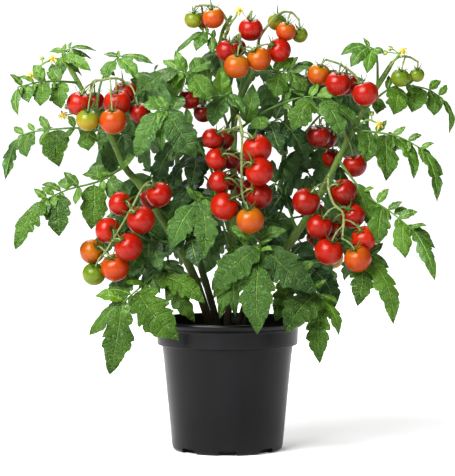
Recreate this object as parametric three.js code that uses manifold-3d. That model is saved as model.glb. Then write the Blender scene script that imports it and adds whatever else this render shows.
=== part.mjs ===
// A cherry tomato plant in a round plastic nursery pot.
//
// Millimetres, +Z up. The origin is the middle of the pot's flat underside, and -Y is the
// plant's front. The pot holds the soil and the soil holds the stems. Every truss (a branched
// fruit stalk with its tomatoes), compound leaf and flower spray starts inside its stem, and is
// cut back to a saddle that stands a small gap off the stem's skin.

import * as THREE from 'three';
import { mergeVertices } from 'three/addons/utils/BufferGeometryUtils.js';
import Module from 'manifold-3d';

const wasm = await Module();
wasm.setup();

// ---------------------------------------------------------------- driving dimensions

const GAP = 0.3;                 // clearance between two solids that touch in life
const MERGE = 1e-4;              // corners this near are one corner
const CUT_PAST = 2;              // how far a cutter runs past the wall that it cuts

const POT_HEIGHT = 131;
const POT_SIDES = 24;
const BASE_RADIUS = 55.5;        // outside, just above the rounded bottom corner
const BASE_CORNER = 4;
const CORNER_CUT = 0.3;          // of the corner, where its chamfer turns
const SHOULDER_RADIUS = 65.6;    // outside, just under the collar
const COLLAR_RADIUS = 70.5;
const COLLAR_BOTTOM = 106;
const COLLAR_TOP = 123;
const LIP_RADIUS = 78;
const LIP_DROP = 5;              // height of the lip's outer bead
const LIP_UNDER = 2.5;           // from the bead's widest line in to its underside
const LIP_TOP = 1;               // and in to the top's outer and inner edges
const LIP_INNER = 3.5;
const STEP = 0.5;                // half height of the ledge under the collar
const WALL = 2;
const FLOOR = 2.5;

const NOTCH_COUNT = 8;           // drain notches around the bottom corner
const NOTCH_WIDTH = 20;
const NOTCH_TOP_WIDTH = 16;
const NOTCH_HEIGHT = 5;
const NOTCH_DEPTH = 9;

const SOIL_EDGE = 114;           // height of the soil against the pot's wall
const SOIL_CROWN = 119;          // and in the middle, around the stems
const SOIL_SHOULDER = [0.6, 117];   // the bend between them: [share of the radius, height]

const BLADE = 1.2;               // thickness of a leaflet's blade
const BLADE_ARCH = 0.1;          // rise of a blade over its chord, of its length
const BLADE_CURL = 0.18;         // fall of a blade's edges, of its half width
const STALK_ROOT = 1.6;          // radius of a leaf's stalk where it leaves the stem
const STALK_TIP = 0.9;
const SHOOT_ROOT = 2;            // radius of a side shoot where it leaves the stem
const FORK_REACH = 14;           // from the stem out to a side shoot's fork
const FORK_RISE = 5;
const TRUSS_ROOT = 2.0;
const TRUSS_TIP = 1.2;
const PEDICEL = 1.1;             // radius of the short stalk of one fruit
const FRUIT_SQUASH = 0.95;       // a tomato's height over its width
const SHOULDER_LEAN = 0.7;       // how far a fruit's top leans to its stalk, against straight up
const PEDICEL_SINK = 0.25;       // of a fruit's radius
const PETAL_LENGTH = 7;
const PETAL_COUNT = 5;
const PETAL_NOTCH = 0.4;         // radius between two petals, of a petal's length
const BUD_RADIUS = 2.4;
const BUD_STRETCH = 1.4;         // a bud's height over its width
const TWIG = 0.8;                // radius of the stalk of one flower or bud
const TWIG_PLACE = 0.8;          // where the twigs leave a spray's stalk
const FLOWER_FACE = [0, -1, 0.3];

// How many sides and steps the round shapes have.
const STEM_SIDES = 7;
const TRUSS_SIDES = 4;
const STALK_SIDES = 3;
const SHOOT_STALK_STEPS = 4;
const FRUIT_SIDES = 8;
const FRUIT_RINGS = 4;
const FRUIT_TURN = Math.PI / 8;
const BUD_SIDES = 4;
const BUD_RINGS = 3;
const CURVE_TENSION = 0.5;

const COLOURS = {
  pot: 0x37373a, soil: 0x2a1d14, stem: 0x5f8a2c, leaf: 0x3f7d2c, fruit: 0xd0231a, flower: 0xf2d53a,
};
const ROUGHNESS = { pot: 0.45, soil: 0.95, stem: 0.6, leaf: 0.6, fruit: 0.2, flower: 0.6 };

// ---------------------------------------------------------------- layout of the plant

// Main stems: centre line from inside the soil to the growing tip, radius at both ends.
const STEMS = {
  stem_centre: {
    path: [[2, 2, 72], [0, 0, 120], [4, -2, 190], [6, -2, 260], [7, -2, 330], [19, -4, 364],
      [30, -4, 385], [40, -4, 393]],
    radii: [4, 2],
  },
  stem_left: {
    path: [[-12, 4, 72], [-17, 4, 120], [-37, 0, 181], [-62, -4, 226], [-87, -8, 265],
      [-102, -9, 283], [-115, -10, 311], [-128, -11, 334], [-142, -10, 356], [-160, -8, 388]],
    radii: [4.8, 2],
  },
  stem_right: {
    path: [[13, 4, 72], [17, 3, 120], [40, 0, 168], [66, -4, 212], [80, -6, 234], [101, -8, 272],
      [118, -7, 307], [126, -6, 322], [139, -3, 346], [165, 4, 388]],
    radii: [4.6, 2],
  },
  stem_back_left: {
    path: [[-8, 18, 72], [-10, 22, 120], [-30, 48, 190], [-46, 68, 250], [-54, 80, 310],
      [-54, 86, 350]],
    radii: [4.2, 2],
  },
  stem_back_right: {
    path: [[10, 18, 72], [12, 23, 120], [34, 48, 190], [52, 68, 250], [60, 80, 310],
      [60, 88, 356]],
    radii: [4.2, 2],
  },
  stem_top: {
    from: ['stem_centre', 0.56],
    path: [[2, 3, 362], [-7, 5, 395], [-5, 3, 418], [4, 1, 434]],
    radii: [2.6, 1.5],
  },
};

// Trusses: where the stalk leaves its stem, its centre line, then each fruit as
// [centre, diameter, place of its pedicel along the stalk].
const TRUSSES = {
  truss_top_left: {
    from: ['stem_top', 0.62],
    path: [[1, -4, 422], [-8, -5, 440], [-22, -2, 444], [-32, 0, 443]],
    fruits: [[[-34, -4, 430], 18, 1], [[-14, -16, 431], 22, 0.7], [[-24, 11, 430], 18, 0.85]],
  },
  truss_top: {
    from: ['stem_centre', 0.86],
    path: [[17, -10, 398], [12, -12, 410], [16, -10, 424], [24, -6, 438]],
    fruits: [[[23, -8, 420], 24.5, 1], [[0, -15, 398], 23.5, 0.6], [[9, 3, 402], 19.5, 0.6],
      [[9, -32, 383], 25.5, 0.4], [[31, -26, 390], 24.5, 0.3], [[51, -12, 399], 24.5, 0.2]],
  },
  truss_top_right: {
    from: ['stem_centre', 0.96],
    path: [[31, -4, 408], [41, -4, 425], [52, -4, 436], [63, -4, 437], [71, -2, 430]],
    fruits: [[[49, 8, 428], 18, 0.65], [[58, -9, 418], 20, 0.8], [[72, 3, 415], 16.5, 1]],
  },
  truss_right_upper: {
    from: ['stem_right', 0.87],
    path: [[130, -12, 369], [114, -12, 384], [98, -9, 390]],
    fruits: [[[91, -9, 375], 23.5, 1], [[109, -23, 366], 25.5, 0.7], [[120, 0, 365], 21.5, 0.6],
      [[136, -27, 356], 26, 0.2]],
  },
  truss_far_right: {
    from: ['stem_right', 0.96],
    path: [[168, 0, 391], [180, -1, 393], [190, -1, 388]],
    fruits: [[[172, -6, 372], 19, 0.6], [[189, -1, 375], 15, 1]],
  },
  truss_left_upper: {
    from: ['stem_left', 0.84],
    path: [[-134, -20, 366], [-122, -22, 370], [-108, -18, 371], [-96, -16, 364]],
    fruits: [[[-146, -31, 346], 25, 0.25], [[-133, 9, 349], 19.5, 0.3], [[-109, -27, 347], 27.5, 0.7],
      [[-102, -3, 357], 24.5, 0.8], [[-137, -47, 330], 22.5, 0.35], [[-112, -47, 329], 27, 0.6],
      [[-87, -20, 337], 21.5, 1]],
  },
  truss_left_hidden: {
    from: ['stem_centre', 0.52],
    path: [[-10, -10, 350], [-26, -15, 364], [-36, -18, 366]],
    fruits: [[[-38, -22, 351], 21.5, 1], [[-24, -14, 337], 19.5, 0.7]],
  },
  truss_centre: {
    from: ['stem_centre', 0.53],
    path: [[10, -26, 334], [14, -44, 318], [14, -50, 290], [14, -52, 262], [16, -57, 250]],
    fruits: [[[-15, -52, 312], 20.5, 0.4], [[-11, -56, 292], 21.5, 0.6], [[-8, -58, 270], 22, 0.8],
      [[-3, -62, 246], 28, 0.97], [[-3, -35, 311], 19.5, 0.35], [[3, -36, 291], 19.5, 0.55],
      [[4, -39, 269], 17, 0.75], [[29, -52, 302], 29, 0.4], [[31, -68, 280], 28, 0.65],
      [[31, -51, 256], 27, 0.85], [[22, -72, 233], 27.5, 1]],
  },
  truss_left_lower: {
    from: ['stem_left', 0.4],
    path: [[-76, -26, 268], [-84, -46, 262], [-94, -56, 243], [-104, -63, 226], [-116, -60, 206],
      [-120, -60, 200]],
    fruits: [[[-67, -50, 257], 25.5, 0.3], [[-76, -29, 252], 21.5, 0.25], [[-105, -49, 248], 23.5, 0.5],
      [[-84, -67, 233], 28, 0.55], [[-117, -51, 222], 25.5, 0.75], [[-96, -72, 207], 28, 0.8],
      [[-133, -46, 201], 24.5, 0.95], [[-110, -57, 186], 28, 1], [[-131, -49, 179], 23, 1]],
  },
  truss_right_lower: {
    from: ['stem_right', 0.52],
    path: [[100, -26, 276], [99, -42, 264], [104, -55, 248], [113, -58, 238], [112, -60, 214]],
    fruits: [[[77, -50, 250], 28, 0.35], [[90, -54, 226], 25.5, 0.65], [[99, -58, 202], 28, 0.9],
      [[114, -39, 259], 27, 0.4], [[123, -41, 236], 25, 0.7], [[102, -35, 223], 22.5, 0.8],
      [[134, -48, 214], 25.5, 0.85], [[127, -63, 195], 27, 1]],
  },
  truss_right_hidden: {
    from: ['stem_right', 0.68],
    path: [[112, -16, 324], [102, -14, 331], [94, -10, 332]],
    fruits: [[[90, -16, 314], 23.5, 1], [[99, 5, 312], 21.5, 0.8], [[105, 13, 292], 19.5, 0.5],
      [[127, -4, 285], 24.5, 0.2]],
  },
  truss_back_left: {
    from: ['stem_back_left', 0.6],
    path: [[-64, 92, 268], [-84, 110, 256], [-94, 120, 238], [-96, 122, 214]],
    fruits: [[[-112, 112, 236], 24, 0.6], [[-80, 128, 234], 25, 0.6], [[-112, 120, 211], 25, 0.85],
      [[-82, 124, 207], 23, 0.85], [[-97, 124, 186], 24, 1]],
  },
  truss_back_right: {
    from: ['stem_back_right', 0.58],
    path: [[72, 92, 264], [94, 110, 254], [106, 120, 236], [110, 122, 212]],
    fruits: [[[92, 128, 232], 24, 0.6], [[124, 114, 234], 25, 0.6], [[95, 126, 205], 24, 0.85],
      [[126, 120, 208], 23, 0.85], [[111, 124, 184], 23, 1]],
  },
  truss_back_centre: {
    from: ['stem_centre', 0.46],
    path: [[8, 26, 306], [6, 48, 304], [4, 62, 288], [4, 66, 262]],
    fruits: [[[-10, 68, 288], 24, 0.6], [[20, 68, 284], 25, 0.65], [[-10, 72, 262], 24, 0.85],
      [[20, 72, 257], 25, 0.9], [[4, 76, 238], 23, 1]],
  },
};

// Compound leaves: where the stalk leaves its stem, its centre line, then each leaflet as
// [place along the stalk, tip, width].
const LEAVES = {
  leaf_far_left_upper: {
    from: ['stem_left', 0.93],
    path: [[-166, -30, 368], [-184, -46, 367], [-204, -58, 362]],
    leaflets: [[1, [-203, -66, 334], 12], [0.85, [-193, -60, 347], 15], [0.62, [-183, -60, 344], 22],
      [0.3, [-163, -44, 341], 22], [0.5, [-184, -22, 356], 15], [0.6, [-190, -38, 384], 14],
      [0.3, [-174, -10, 386], 14]],
  },
  leaf_left_tip: {
    from: ['stem_left', 0.97],
    path: [[-164, -6, 394], [-156, -4, 402]],
    leaflets: [[1, [-131, 4, 399], 8], [0.75, [-136, 10, 391], 9], [0.5, [-135, -20, 379], 17],
      [0.45, [-146, 14, 374], 10], [0.8, [-178, 2, 398], 9], [0.5, [-169, -8, 371], 16]],
  },

  leaf_left_crown: {
    from: ['stem_left', 0.8],
    path: [[-126, 0, 368], [-114, -2, 387], [-107, -4, 394]],
    leaflets: [[1, [-74, -8, 386], 11], [0.9, [-89, -16, 370], 16], [0.75, [-120, -14, 370], 20],
      [0.95, [-124, 4, 396], 8]],
  },
  leaf_centre_left_upper: {
    from: ['stem_centre', 0.6],
    path: [[-12, -20, 356], [-34, -34, 374], [-46, -38, 379]],
    leaflets: [[1, [-91, -48, 352], 34], [0.7, [-17, -46, 347], 26], [0.85, [-54, -30, 352], 22],
      [0.75, [-17, -20, 389], 20], [0.95, [-64, -22, 389], 13], [0.2, [-7, -22, 382], 20]],
  },
  leaf_centre_left_lower: {
    from: ['stem_centre', 0.36],
    path: [[-28, -30, 306], [-56, -48, 338], [-68, -52, 340]],
    leaflets: [[1, [-89, -58, 293], 26], [0.8, [-31, -58, 292], 32], [0.65, [-64, -54, 300], 20],
      [0.9, [-84, -46, 345], 14], [0.65, [-44, -34, 354], 18]],
  },
  leaf_left_middle: {
    from: ['stem_left', 0.56],
    path: [[-126, -28, 270], [-156, -48, 262], [-179, -62, 252]],
    leaflets: [[1, [-205, -80, 205], 27], [0.78, [-163, -72, 217], 29], [0.4, [-134, -46, 223], 29],
      [0.7, [-160, -26, 274], 18], [0.35, [-130, -8, 288], 20], [0.9, [-198, -44, 226], 22],
      [0.25, [-96, -30, 246], 22], [0.08, [-92, -30, 294], 20]],
  },
  leaf_far_left: {
    from: ['stem_left', 0.7],
    path: [[-151, 4, 322], [-191, 22, 319], [-211, 30, 314]],
    leaflets: [[1, [-226, 38, 269], 16], [0.8, [-202, 12, 293], 22], [0.5, [-169, -6, 284], 31],
      [0.2, [-139, -16, 300], 22], [0.62, [-184, 40, 318], 18]],
  },
  leaf_left_low: {
    from: ['stem_left', 0.2],
    path: [[-62, -32, 182], [-86, -56, 166], [-102, -66, 152]],
    leaflets: [[1, [-114, -82, 84], 34], [0.9, [-135, -62, 120], 24], [0.72, [-47, -86, 117], 40],
      [0.45, [-22, -60, 152], 26], [0.4, [-32, -46, 131], 24]],
  },
  leaf_front: {
    from: ['stem_centre', 0.24],
    path: [[16, -34, 214], [30, -60, 212], [32, -70, 202]],
    leaflets: [[1, [29, -98, 124], 38], [0.85, [-15, -88, 166], 36], [0.85, [85, -80, 163], 38],
      [0.6, [0, -60, 226], 14], [0.65, [58, -58, 222], 16], [0.3, [-14, -40, 154], 26],
      [0.2, [8, -42, 135], 18], [0.22, [-8, -44, 134], 22]],
  },
  leaf_front_left: {
    from: ['stem_centre', 0.3],
    path: [[-14, -30, 250], [-32, -48, 249]],
    leaflets: [[1, [-55, -64, 204], 27], [0.85, [-24, -72, 194], 27], [0.6, [-46, -26, 222], 20]],
  },
  leaf_right_low: {
    from: ['stem_right', 0.22],
    path: [[64, -28, 176], [84, -50, 166], [92, -57, 156]],
    leaflets: [[1, [90, -68, 93], 26], [0.85, [55, -88, 125], 38], [0.95, [109, -60, 119], 17],
      [0.5, [82, -12, 146], 20], [0.3, [47, -50, 132], 25]],
  },
  leaf_right_drop: {
    from: ['stem_right', 0.42],
    path: [[106, -24, 223], [126, -38, 208], [139, -46, 196]],
    leaflets: [[1, [162, -62, 130], 25], [0.85, [127, -58, 148], 27], [0.6, [116, -16, 170], 18],
      [0.75, [160, -26, 184], 18]],
  },
  leaf_right_middle: {
    from: ['stem_right', 0.61],
    path: [[136, -24, 257], [160, -44, 240], [181, -60, 223]],
    leaflets: [[1, [201, -80, 175], 17], [0.85, [172, -76, 196], 21], [0.55, [147, -58, 208], 25],
      [0.9, [204, -50, 204], 15], [0.42, [152, -12, 216], 20], [0.7, [184, -34, 236], 14],
      [0.2, [143, -36, 222], 25]],
  },
  leaf_far_right: {
    from: ['stem_right', 0.76],
    path: [[147, -20, 318], [170, -32, 313], [192, -42, 301]],
    leaflets: [[1, [205, -52, 250], 17], [0.92, [212, -36, 276], 14], [0.62, [183, -46, 273], 20],
      [0.45, [155, -46, 270], 27], [0.2, [135, -36, 288], 25], [0.5, [170, -2, 300], 16]],
  },
  leaf_far_right_upper: {
    from: ['stem_right', 0.87],
    path: [[166, 6, 363], [198, 20, 362], [217, 26, 352]],
    leaflets: [[1, [225, 32, 317], 12], [0.85, [207, 14, 334], 19], [0.62, [184, 6, 338], 24],
      [0.38, [165, -6, 335], 25], [0.15, [149, -14, 336], 19], [0.55, [186, 38, 350], 16]],
  },
  leaf_right_crown: {
    from: ['stem_right', 0.94],
    path: [[148, -6, 396], [138, -8, 404]],
    leaflets: [[1, [112, -10, 394], 11], [0.9, [122, -18, 382], 16], [0.75, [138, -20, 376], 15],
      [0.7, [155, -12, 396], 10]],
  },
  leaf_centre_right: {
    from: ['stem_centre', 0.54],
    path: [[40, -6, 340], [72, -16, 352], [94, -22, 352]],
    leaflets: [[1, [113, -34, 313], 25], [0.85, [64, -38, 319], 28], [0.72, [62, -12, 362], 16],
      [0.95, [132, -16, 322], 20], [0.9, [118, -12, 360], 17], [0.25, [33, -14, 320], 22],
      [0.12, [25, -12, 366], 20]],
  },
  leaf_top_right: {
    from: ['stem_centre', 0.8],
    path: [[46, -6, 378], [62, -10, 379]],
    leaflets: [[1, [78, -16, 358], 24], [0.7, [47, -20, 352], 25], [0.85, [90, 2, 382], 18]],
  },
  leaf_centre: {
    from: ['stem_centre', 0.64],
    path: [[2, -16, 356], [-3, -20, 353]],
    leaflets: [[1, [-15, -28, 324], 26], [0.7, [17, -24, 336], 15]],
  },
  leaf_top_left: {
    from: ['stem_top', 0.5],
    path: [[-16, 0, 414], [-25, -2, 418]],
    leaflets: [[1, [-51, -6, 397], 10], [0.8, [-31, -14, 398], 15], [0.5, [-15, -12, 396], 11]],
  },
};

// Side shoots inside and behind: where the shoot leaves its stem, the compass angle that it
// sets out at (0 is +X, 90 the back), then each of its leaves as
// [compass angle, reach, rise of its stalk, size of its leaflets].
const SHOOTS = {
  shoot_rear_left_low: {
    from: ['stem_back_left', 0.33], angle: 172,
    leaves: [[136, 88, 14, 54], [207, 58, 43, 47], [167, 56, 48, 43]],
  },
  shoot_rear_left_middle: {
    from: ['stem_back_left', 0.5], angle: 118,
    leaves: [[82, 60, 8, 48], [186, 68, 6, 46], [222, 62, 52, 52]],
  },
  shoot_rear_left_high: {
    from: ['stem_back_left', 0.84], angle: 186,
    leaves: [[138, 68, 14, 46], [182, 60, 30, 44], [232, 62, -12, 54]],
  },
  shoot_rear_left_tip: {
    from: ['stem_back_left', 0.97], angle: 190,
    leaves: [[112, 44, 24, 42], [250, 46, 20, 46]],
  },
  shoot_rear_right_low: {
    from: ['stem_back_right', 0.3], angle: 10,
    leaves: [[-28, 58, 34, 46], [46, 80, 30, 50], [12, 56, 50, 42]],
  },
  shoot_rear_right_middle: {
    from: ['stem_back_right', 0.5], angle: 62,
    leaves: [[98, 60, 8, 48], [-6, 68, 6, 46], [-38, 60, 52, 50]],
  },
  shoot_rear_right_high: {
    from: ['stem_back_right', 0.78], angle: -6,
    leaves: [[42, 68, 12, 46], [-2, 60, 30, 44], [-70, 46, -12, 54]],
  },
  shoot_rear_right_tip: {
    from: ['stem_back_right', 0.97], angle: -10,
    leaves: [[68, 44, 24, 42], [-66, 48, 20, 46], [-20, 52, 14, 46]],
  },
  shoot_rear_centre: {
    from: ['stem_centre', 0.58], angle: 90,
    leaves: [[54, 50, 52, 45], [126, 46, 60, 45], [196, 56, -44, 52], [-6, 46, -12, 50]],
  },
  shoot_rear_low: {
    from: ['stem_back_right', 0.38], angle: 100,
    leaves: [[64, 62, 6, 48], [136, 52, 28, 44]],
  },
  shoot_inner_left: {
    from: ['stem_left', 0.27], angle: 256,
    leaves: [[222, 42, 4, 42], [294, 36, 20, 38]],
  },
  shoot_inner_centre: {
    from: ['stem_centre', 0.33], angle: 100,
    leaves: [[36, 50, 12, 48], [108, 43, 34, 42], [172, 50, 56, 52]],
  },
  shoot_inner_right: {
    from: ['stem_right', 0.34], angle: 78,
    leaves: [[42, 54, 12, 46], [150, 46, 46, 46]],
  },
};

// A shoot leaf's leaflets, in units of its size, as
// [place along the stalk, then the tip ahead of, beside and above that place, width].
const SHOOT_LEAFLETS = [
  [1, 0.5, 0, -0.85, 0.55],
  [0.75, 0.3, -0.66, -0.65, 0.46], [0.75, 0.3, 0.66, -0.65, 0.46],
  [0.5, 0.05, -0.58, -0.5, 0.4], [0.5, 0.05, 0.58, -0.5, 0.4],
];
const SHOOT_STALK_DROP = 0.6;    // a shoot leaf's end over the rise of its middle
const TWO_PAIRS_FROM = 46;       // smaller shoot leaves have one pair of leaflets,
const ONE_PAIR = 3;              // which makes this many with the one at the tip

// Flower sprays: where the stalk leaves its stem, its centre line, open flowers and buds.
const SPRAYS = {
  spray_left: {
    from: ['stem_left', 0.96],
    path: [[-166, -16, 390], [-178, -20, 388], [-190, -24, 380]],
    flowers: [[-194, -27, 374], [-173, -23, 391]],
    buds: [[-184, -14, 391]],
  },
  spray_left_middle: {
    from: ['stem_left', 0.72],
    path: [[-140, -26, 332], [-156, -32, 338]],
    flowers: [[-162, -36, 335]],
    buds: [[-158, -26, 343]],
  },
  spray_top: {
    from: ['stem_top', 0.9],
    path: [[6, 0, 430], [10, -2, 436]],
    flowers: [[12, -4, 439]],
    buds: [[0, -6, 421], [-3, -8, 414]],
  },
  spray_right: {
    from: ['stem_right', 0.98],
    path: [[168, -8, 392], [172, -10, 397]],
    flowers: [[174, -13, 399]],
    buds: [[157, -8, 397], [162, -10, 401]],
  },
  spray_right_middle: {
    from: ['stem_right', 0.77],
    path: [[138, -16, 330], [146, -20, 328]],
    flowers: [[150, -24, 326]],
    buds: [[143, -16, 336]],
  },
};

// ---------------------------------------------------------------- shape helpers

const UP = new THREE.Vector3(0, 0, 1);

function vector([x, y, z]) {
  return new THREE.Vector3(x, y, z);
}

// A closed three.js geometry as a solid, turned right side out if its faces point inwards.
function solidOf(geometry) {
  geometry.deleteAttribute('normal');
  geometry.deleteAttribute('uv');
  const merged = mergeVertices(geometry, MERGE);
  const corners = Array.from(merged.index.array);
  const triangles = [];
  for (let i = 0; i < corners.length; i += 3) {
    const [a, b, c] = corners.slice(i, i + 3);
    if (a !== b && b !== c && c !== a) triangles.push(a, b, c);
  }
  const build = (triVerts) => new wasm.Manifold(new wasm.Mesh({
    numProp: 3,
    vertProperties: new Float32Array(merged.attributes.position.array),
    triVerts: new Uint32Array(triVerts),
  }));
  const solid = build(triangles);
  return solid.volume() >= 0 ? solid : build(triangles.reverse());
}

function geometryOf(solid) {
  const mesh = solid.getMesh();
  const geometry = new THREE.BufferGeometry();
  geometry.setAttribute('position', new THREE.BufferAttribute(mesh.vertProperties, 3));
  geometry.setIndex(new THREE.BufferAttribute(mesh.triVerts, 1));
  return geometry;
}

function joined(solids) {
  return solids.reduce((whole, solid) => whole.add(solid));
}

function largestBody(solid) {
  return solid.decompose().sort((a, b) => b.volume() - a.volume())[0];
}

// A smooth centre line through hand-placed points.
function curveThrough(points) {
  return new THREE.CatmullRomCurve3(points, false, 'catmullrom', CURVE_TENSION);
}

// A round tapered rod along a centre line: a cylinder bent onto the curve.
function rod(curve, startRadius, endRadius, sides, steps) {
  const geometry = new THREE.CylinderGeometry(1, 1, 1, sides, steps);
  const frames = curve.computeFrenetFrames(steps, false);
  const position = geometry.attributes.position;
  for (let i = 0; i < position.count; i += 1) {
    const along = position.getY(i) + 0.5;
    const step = Math.round(along * steps);
    const radius = startRadius + (endRadius - startRadius) * along;
    const point = curve.getPointAt(along)
      .addScaledVector(frames.normals[step], position.getX(i) * radius)
      .addScaledVector(frames.binormals[step], -position.getZ(i) * radius);
    position.setXYZ(i, point.x, point.y, point.z);
  }
  return solidOf(geometry);
}

// ---------------------------------------------------------------- pot and soil

// The pot's inner wall, shared by the pot and the soil: [radius, height] from floor to rim.
function innerWall(inset) {
  return [
    [BASE_RADIUS - WALL - inset, FLOOR + inset],
    [SHOULDER_RADIUS - WALL - inset, COLLAR_BOTTOM - WALL],
    [COLLAR_RADIUS - WALL - inset, COLLAR_BOTTOM + WALL],
  ];
}

function turned(profile, sides) {
  const points = profile.map(([radius, height]) => new THREE.Vector2(radius, height));
  return new THREE.LatheGeometry(points, sides).rotateX(Math.PI / 2);
}

// One drain notch: a trapezoid prism through the bottom corner, wider at the bottom.
function drainNotch(angle) {
  const low = NOTCH_WIDTH / 2;
  const high = NOTCH_TOP_WIDTH / 2;
  const outline = new THREE.Shape([
    new THREE.Vector2(-low, -CUT_PAST),
    new THREE.Vector2(low, -CUT_PAST),
    new THREE.Vector2(high, NOTCH_HEIGHT),
    new THREE.Vector2(-high, NOTCH_HEIGHT),
  ]);
  const depth = NOTCH_DEPTH + CUT_PAST;
  const prism = new THREE.ExtrudeGeometry(outline, { depth, bevelEnabled: false });
  prism.rotateX(Math.PI / 2);
  prism.translate(0, -(BASE_RADIUS - NOTCH_DEPTH), 0);
  prism.rotateZ(angle);
  return solidOf(prism);
}

function potSolid() {
  const outside = [
    [0, 0],
    [BASE_RADIUS - BASE_CORNER, 0],
    [BASE_RADIUS - BASE_CORNER * CORNER_CUT, BASE_CORNER * CORNER_CUT],
    [BASE_RADIUS, BASE_CORNER],
    [SHOULDER_RADIUS, COLLAR_BOTTOM - STEP],
    [COLLAR_RADIUS - STEP, COLLAR_BOTTOM + STEP],
    [COLLAR_RADIUS, COLLAR_TOP],
    [LIP_RADIUS - LIP_UNDER, POT_HEIGHT - LIP_DROP],
    [LIP_RADIUS, POT_HEIGHT - LIP_DROP / 2],
    [LIP_RADIUS - LIP_TOP, POT_HEIGHT],
    [LIP_RADIUS - LIP_INNER, POT_HEIGHT - STEP],
  ];
  const inside = innerWall(0).reverse();
  const profile = [...outside, [COLLAR_RADIUS - WALL / 2, COLLAR_TOP], ...inside, [0, FLOOR]];
  let pot = solidOf(turned(profile, POT_SIDES));
  for (let i = 0; i < NOTCH_COUNT; i += 1) {
    pot = pot.subtract(drainNotch((i * 2 * Math.PI) / NOTCH_COUNT));
  }
  return pot;
}

function soilSolid() {
  const wall = innerWall(GAP);
  const radius = wall[2][0];
  const [share, height] = SOIL_SHOULDER;
  const top = [[radius, SOIL_EDGE], [radius * share, height], [0, SOIL_CROWN]];
  const profile = [[0, FLOOR + GAP], ...wall, ...top];
  return solidOf(turned(profile, POT_SIDES));
}

// ---------------------------------------------------------------- stems

const stemCurves = {};

function pointOn(stem, place) {
  return stemCurves[stem].getPoint(place);
}

function stalkCurve({ from, path }) {
  const start = from ? [pointOn(...from)] : [];
  return curveThrough([...start, ...path.map(vector)]);
}

for (const [name, stem] of Object.entries(STEMS)) stemCurves[name] = stalkCurve(stem);

function stemSolid(name, grow) {
  const [root, tip] = STEMS[name].radii;
  return rod(stemCurves[name], root + grow, tip + grow, STEM_SIDES, STEMS[name].path.length + 2);
}

// ---------------------------------------------------------------- trusses

function fruitSolid(centre, diameter, stalkEnd, grow) {
  const geometry = new THREE.SphereGeometry(diameter / 2 + grow, FRUIT_SIDES, FRUIT_RINGS, FRUIT_TURN);
  geometry.scale(FRUIT_SQUASH, 1, 1);
  const toStalk = stalkEnd.clone().sub(centre).normalize();
  geometry.applyQuaternion(new THREE.Quaternion().setFromUnitVectors(new THREE.Vector3(1, 0, 0), toStalk));
  geometry.translate(centre.x, centre.y, centre.z);
  return solidOf(geometry);
}

// The place on a fruit where its pedicel joins: turned towards the stalk, and upwards.
function shoulder(centre, diameter, node) {
  const lean = node.clone().sub(centre).normalize().multiplyScalar(SHOULDER_LEAN).add(UP).normalize();
  return centre.clone().addScaledVector(lean, (diameter / 2) * FRUIT_SQUASH);
}

function trussSolid(name, grow) {
  const truss = TRUSSES[name];
  const curve = stalkCurve(truss);
  const steps = 2 * truss.path.length;
  const solids = [rod(curve, TRUSS_ROOT + grow, TRUSS_TIP + grow, TRUSS_SIDES, steps)];
  for (const [place, diameter, along] of truss.fruits) {
    const centre = vector(place);
    const node = curve.getPoint(along);
    const top = shoulder(centre, diameter, node);
    const inside = top.clone().lerp(centre, PEDICEL_SINK);
    const pedicel = new THREE.LineCurve3(node, inside);
    solids.push(rod(pedicel, PEDICEL + grow, PEDICEL + grow, STALK_SIDES, 1));
    solids.push(fruitSolid(centre, diameter, top, grow));
  }
  return joined(solids);
}

// ---------------------------------------------------------------- leaves

// Half outlines of a leaflet as [place along it, half width], both from 0 to 1.
const BROAD = [[0.24, 0.9], [0.52, 0.86]];
const NARROW = [[0.4, 1]];
const BROAD_FROM = 28;           // leaflets at least this wide have the broad outline

// The way a leaf's upper side looks: up and out, forwards in front and backwards behind.
const DEPTH_MIDDLE = 30;
const FACE_LEAN = 0.75;
const FACE_UP = 0.65;
const FACE_SIDE = 0.0016;        // for each millimetre from the middle

function faceAt(point) {
  const lean = point.y < DEPTH_MIDDLE ? -FACE_LEAN : FACE_LEAN;
  return new THREE.Vector3(point.x * FACE_SIDE, lean, FACE_UP).normalize();
}

// One leaflet: an extruded outline, arched along its length and with its edges curled down.
function leafletSolid(base, tip, width, grow) {
  const length = base.distanceTo(tip);
  const half = width / 2;
  const side = (width >= BROAD_FROM ? BROAD : NARROW).map(([u, w]) => [u * length, w * half + grow]);
  const outline = new THREE.Shape();
  outline.moveTo(-grow, 0);
  side.forEach(([x, y]) => outline.lineTo(x, y));
  outline.lineTo(length + grow, 0);
  side.reverse().forEach(([x, y]) => outline.lineTo(x, -y));
  const depth = BLADE + 2 * grow;
  const geometry = new THREE.ExtrudeGeometry(outline, { depth, bevelEnabled: false });

  const ahead = tip.clone().sub(base).normalize();
  const face = faceAt(base);
  const normal = face.addScaledVector(ahead, -face.dot(ahead)).normalize();
  const across = normal.clone().cross(ahead);
  const position = geometry.attributes.position;
  for (let i = 0; i < position.count; i += 1) {
    const u = Math.min(Math.max(position.getX(i) / length, 0), 1);
    const w = position.getY(i) / half;
    const lift = length * BLADE_ARCH * Math.sin(Math.PI * u) - half * BLADE_CURL * w * w;
    const point = base.clone()
      .addScaledVector(ahead, position.getX(i))
      .addScaledVector(across, position.getY(i))
      .addScaledVector(normal, position.getZ(i) - depth / 2 + lift);
    position.setXYZ(i, point.x, point.y, point.z);
  }
  return solidOf(geometry);
}

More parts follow.
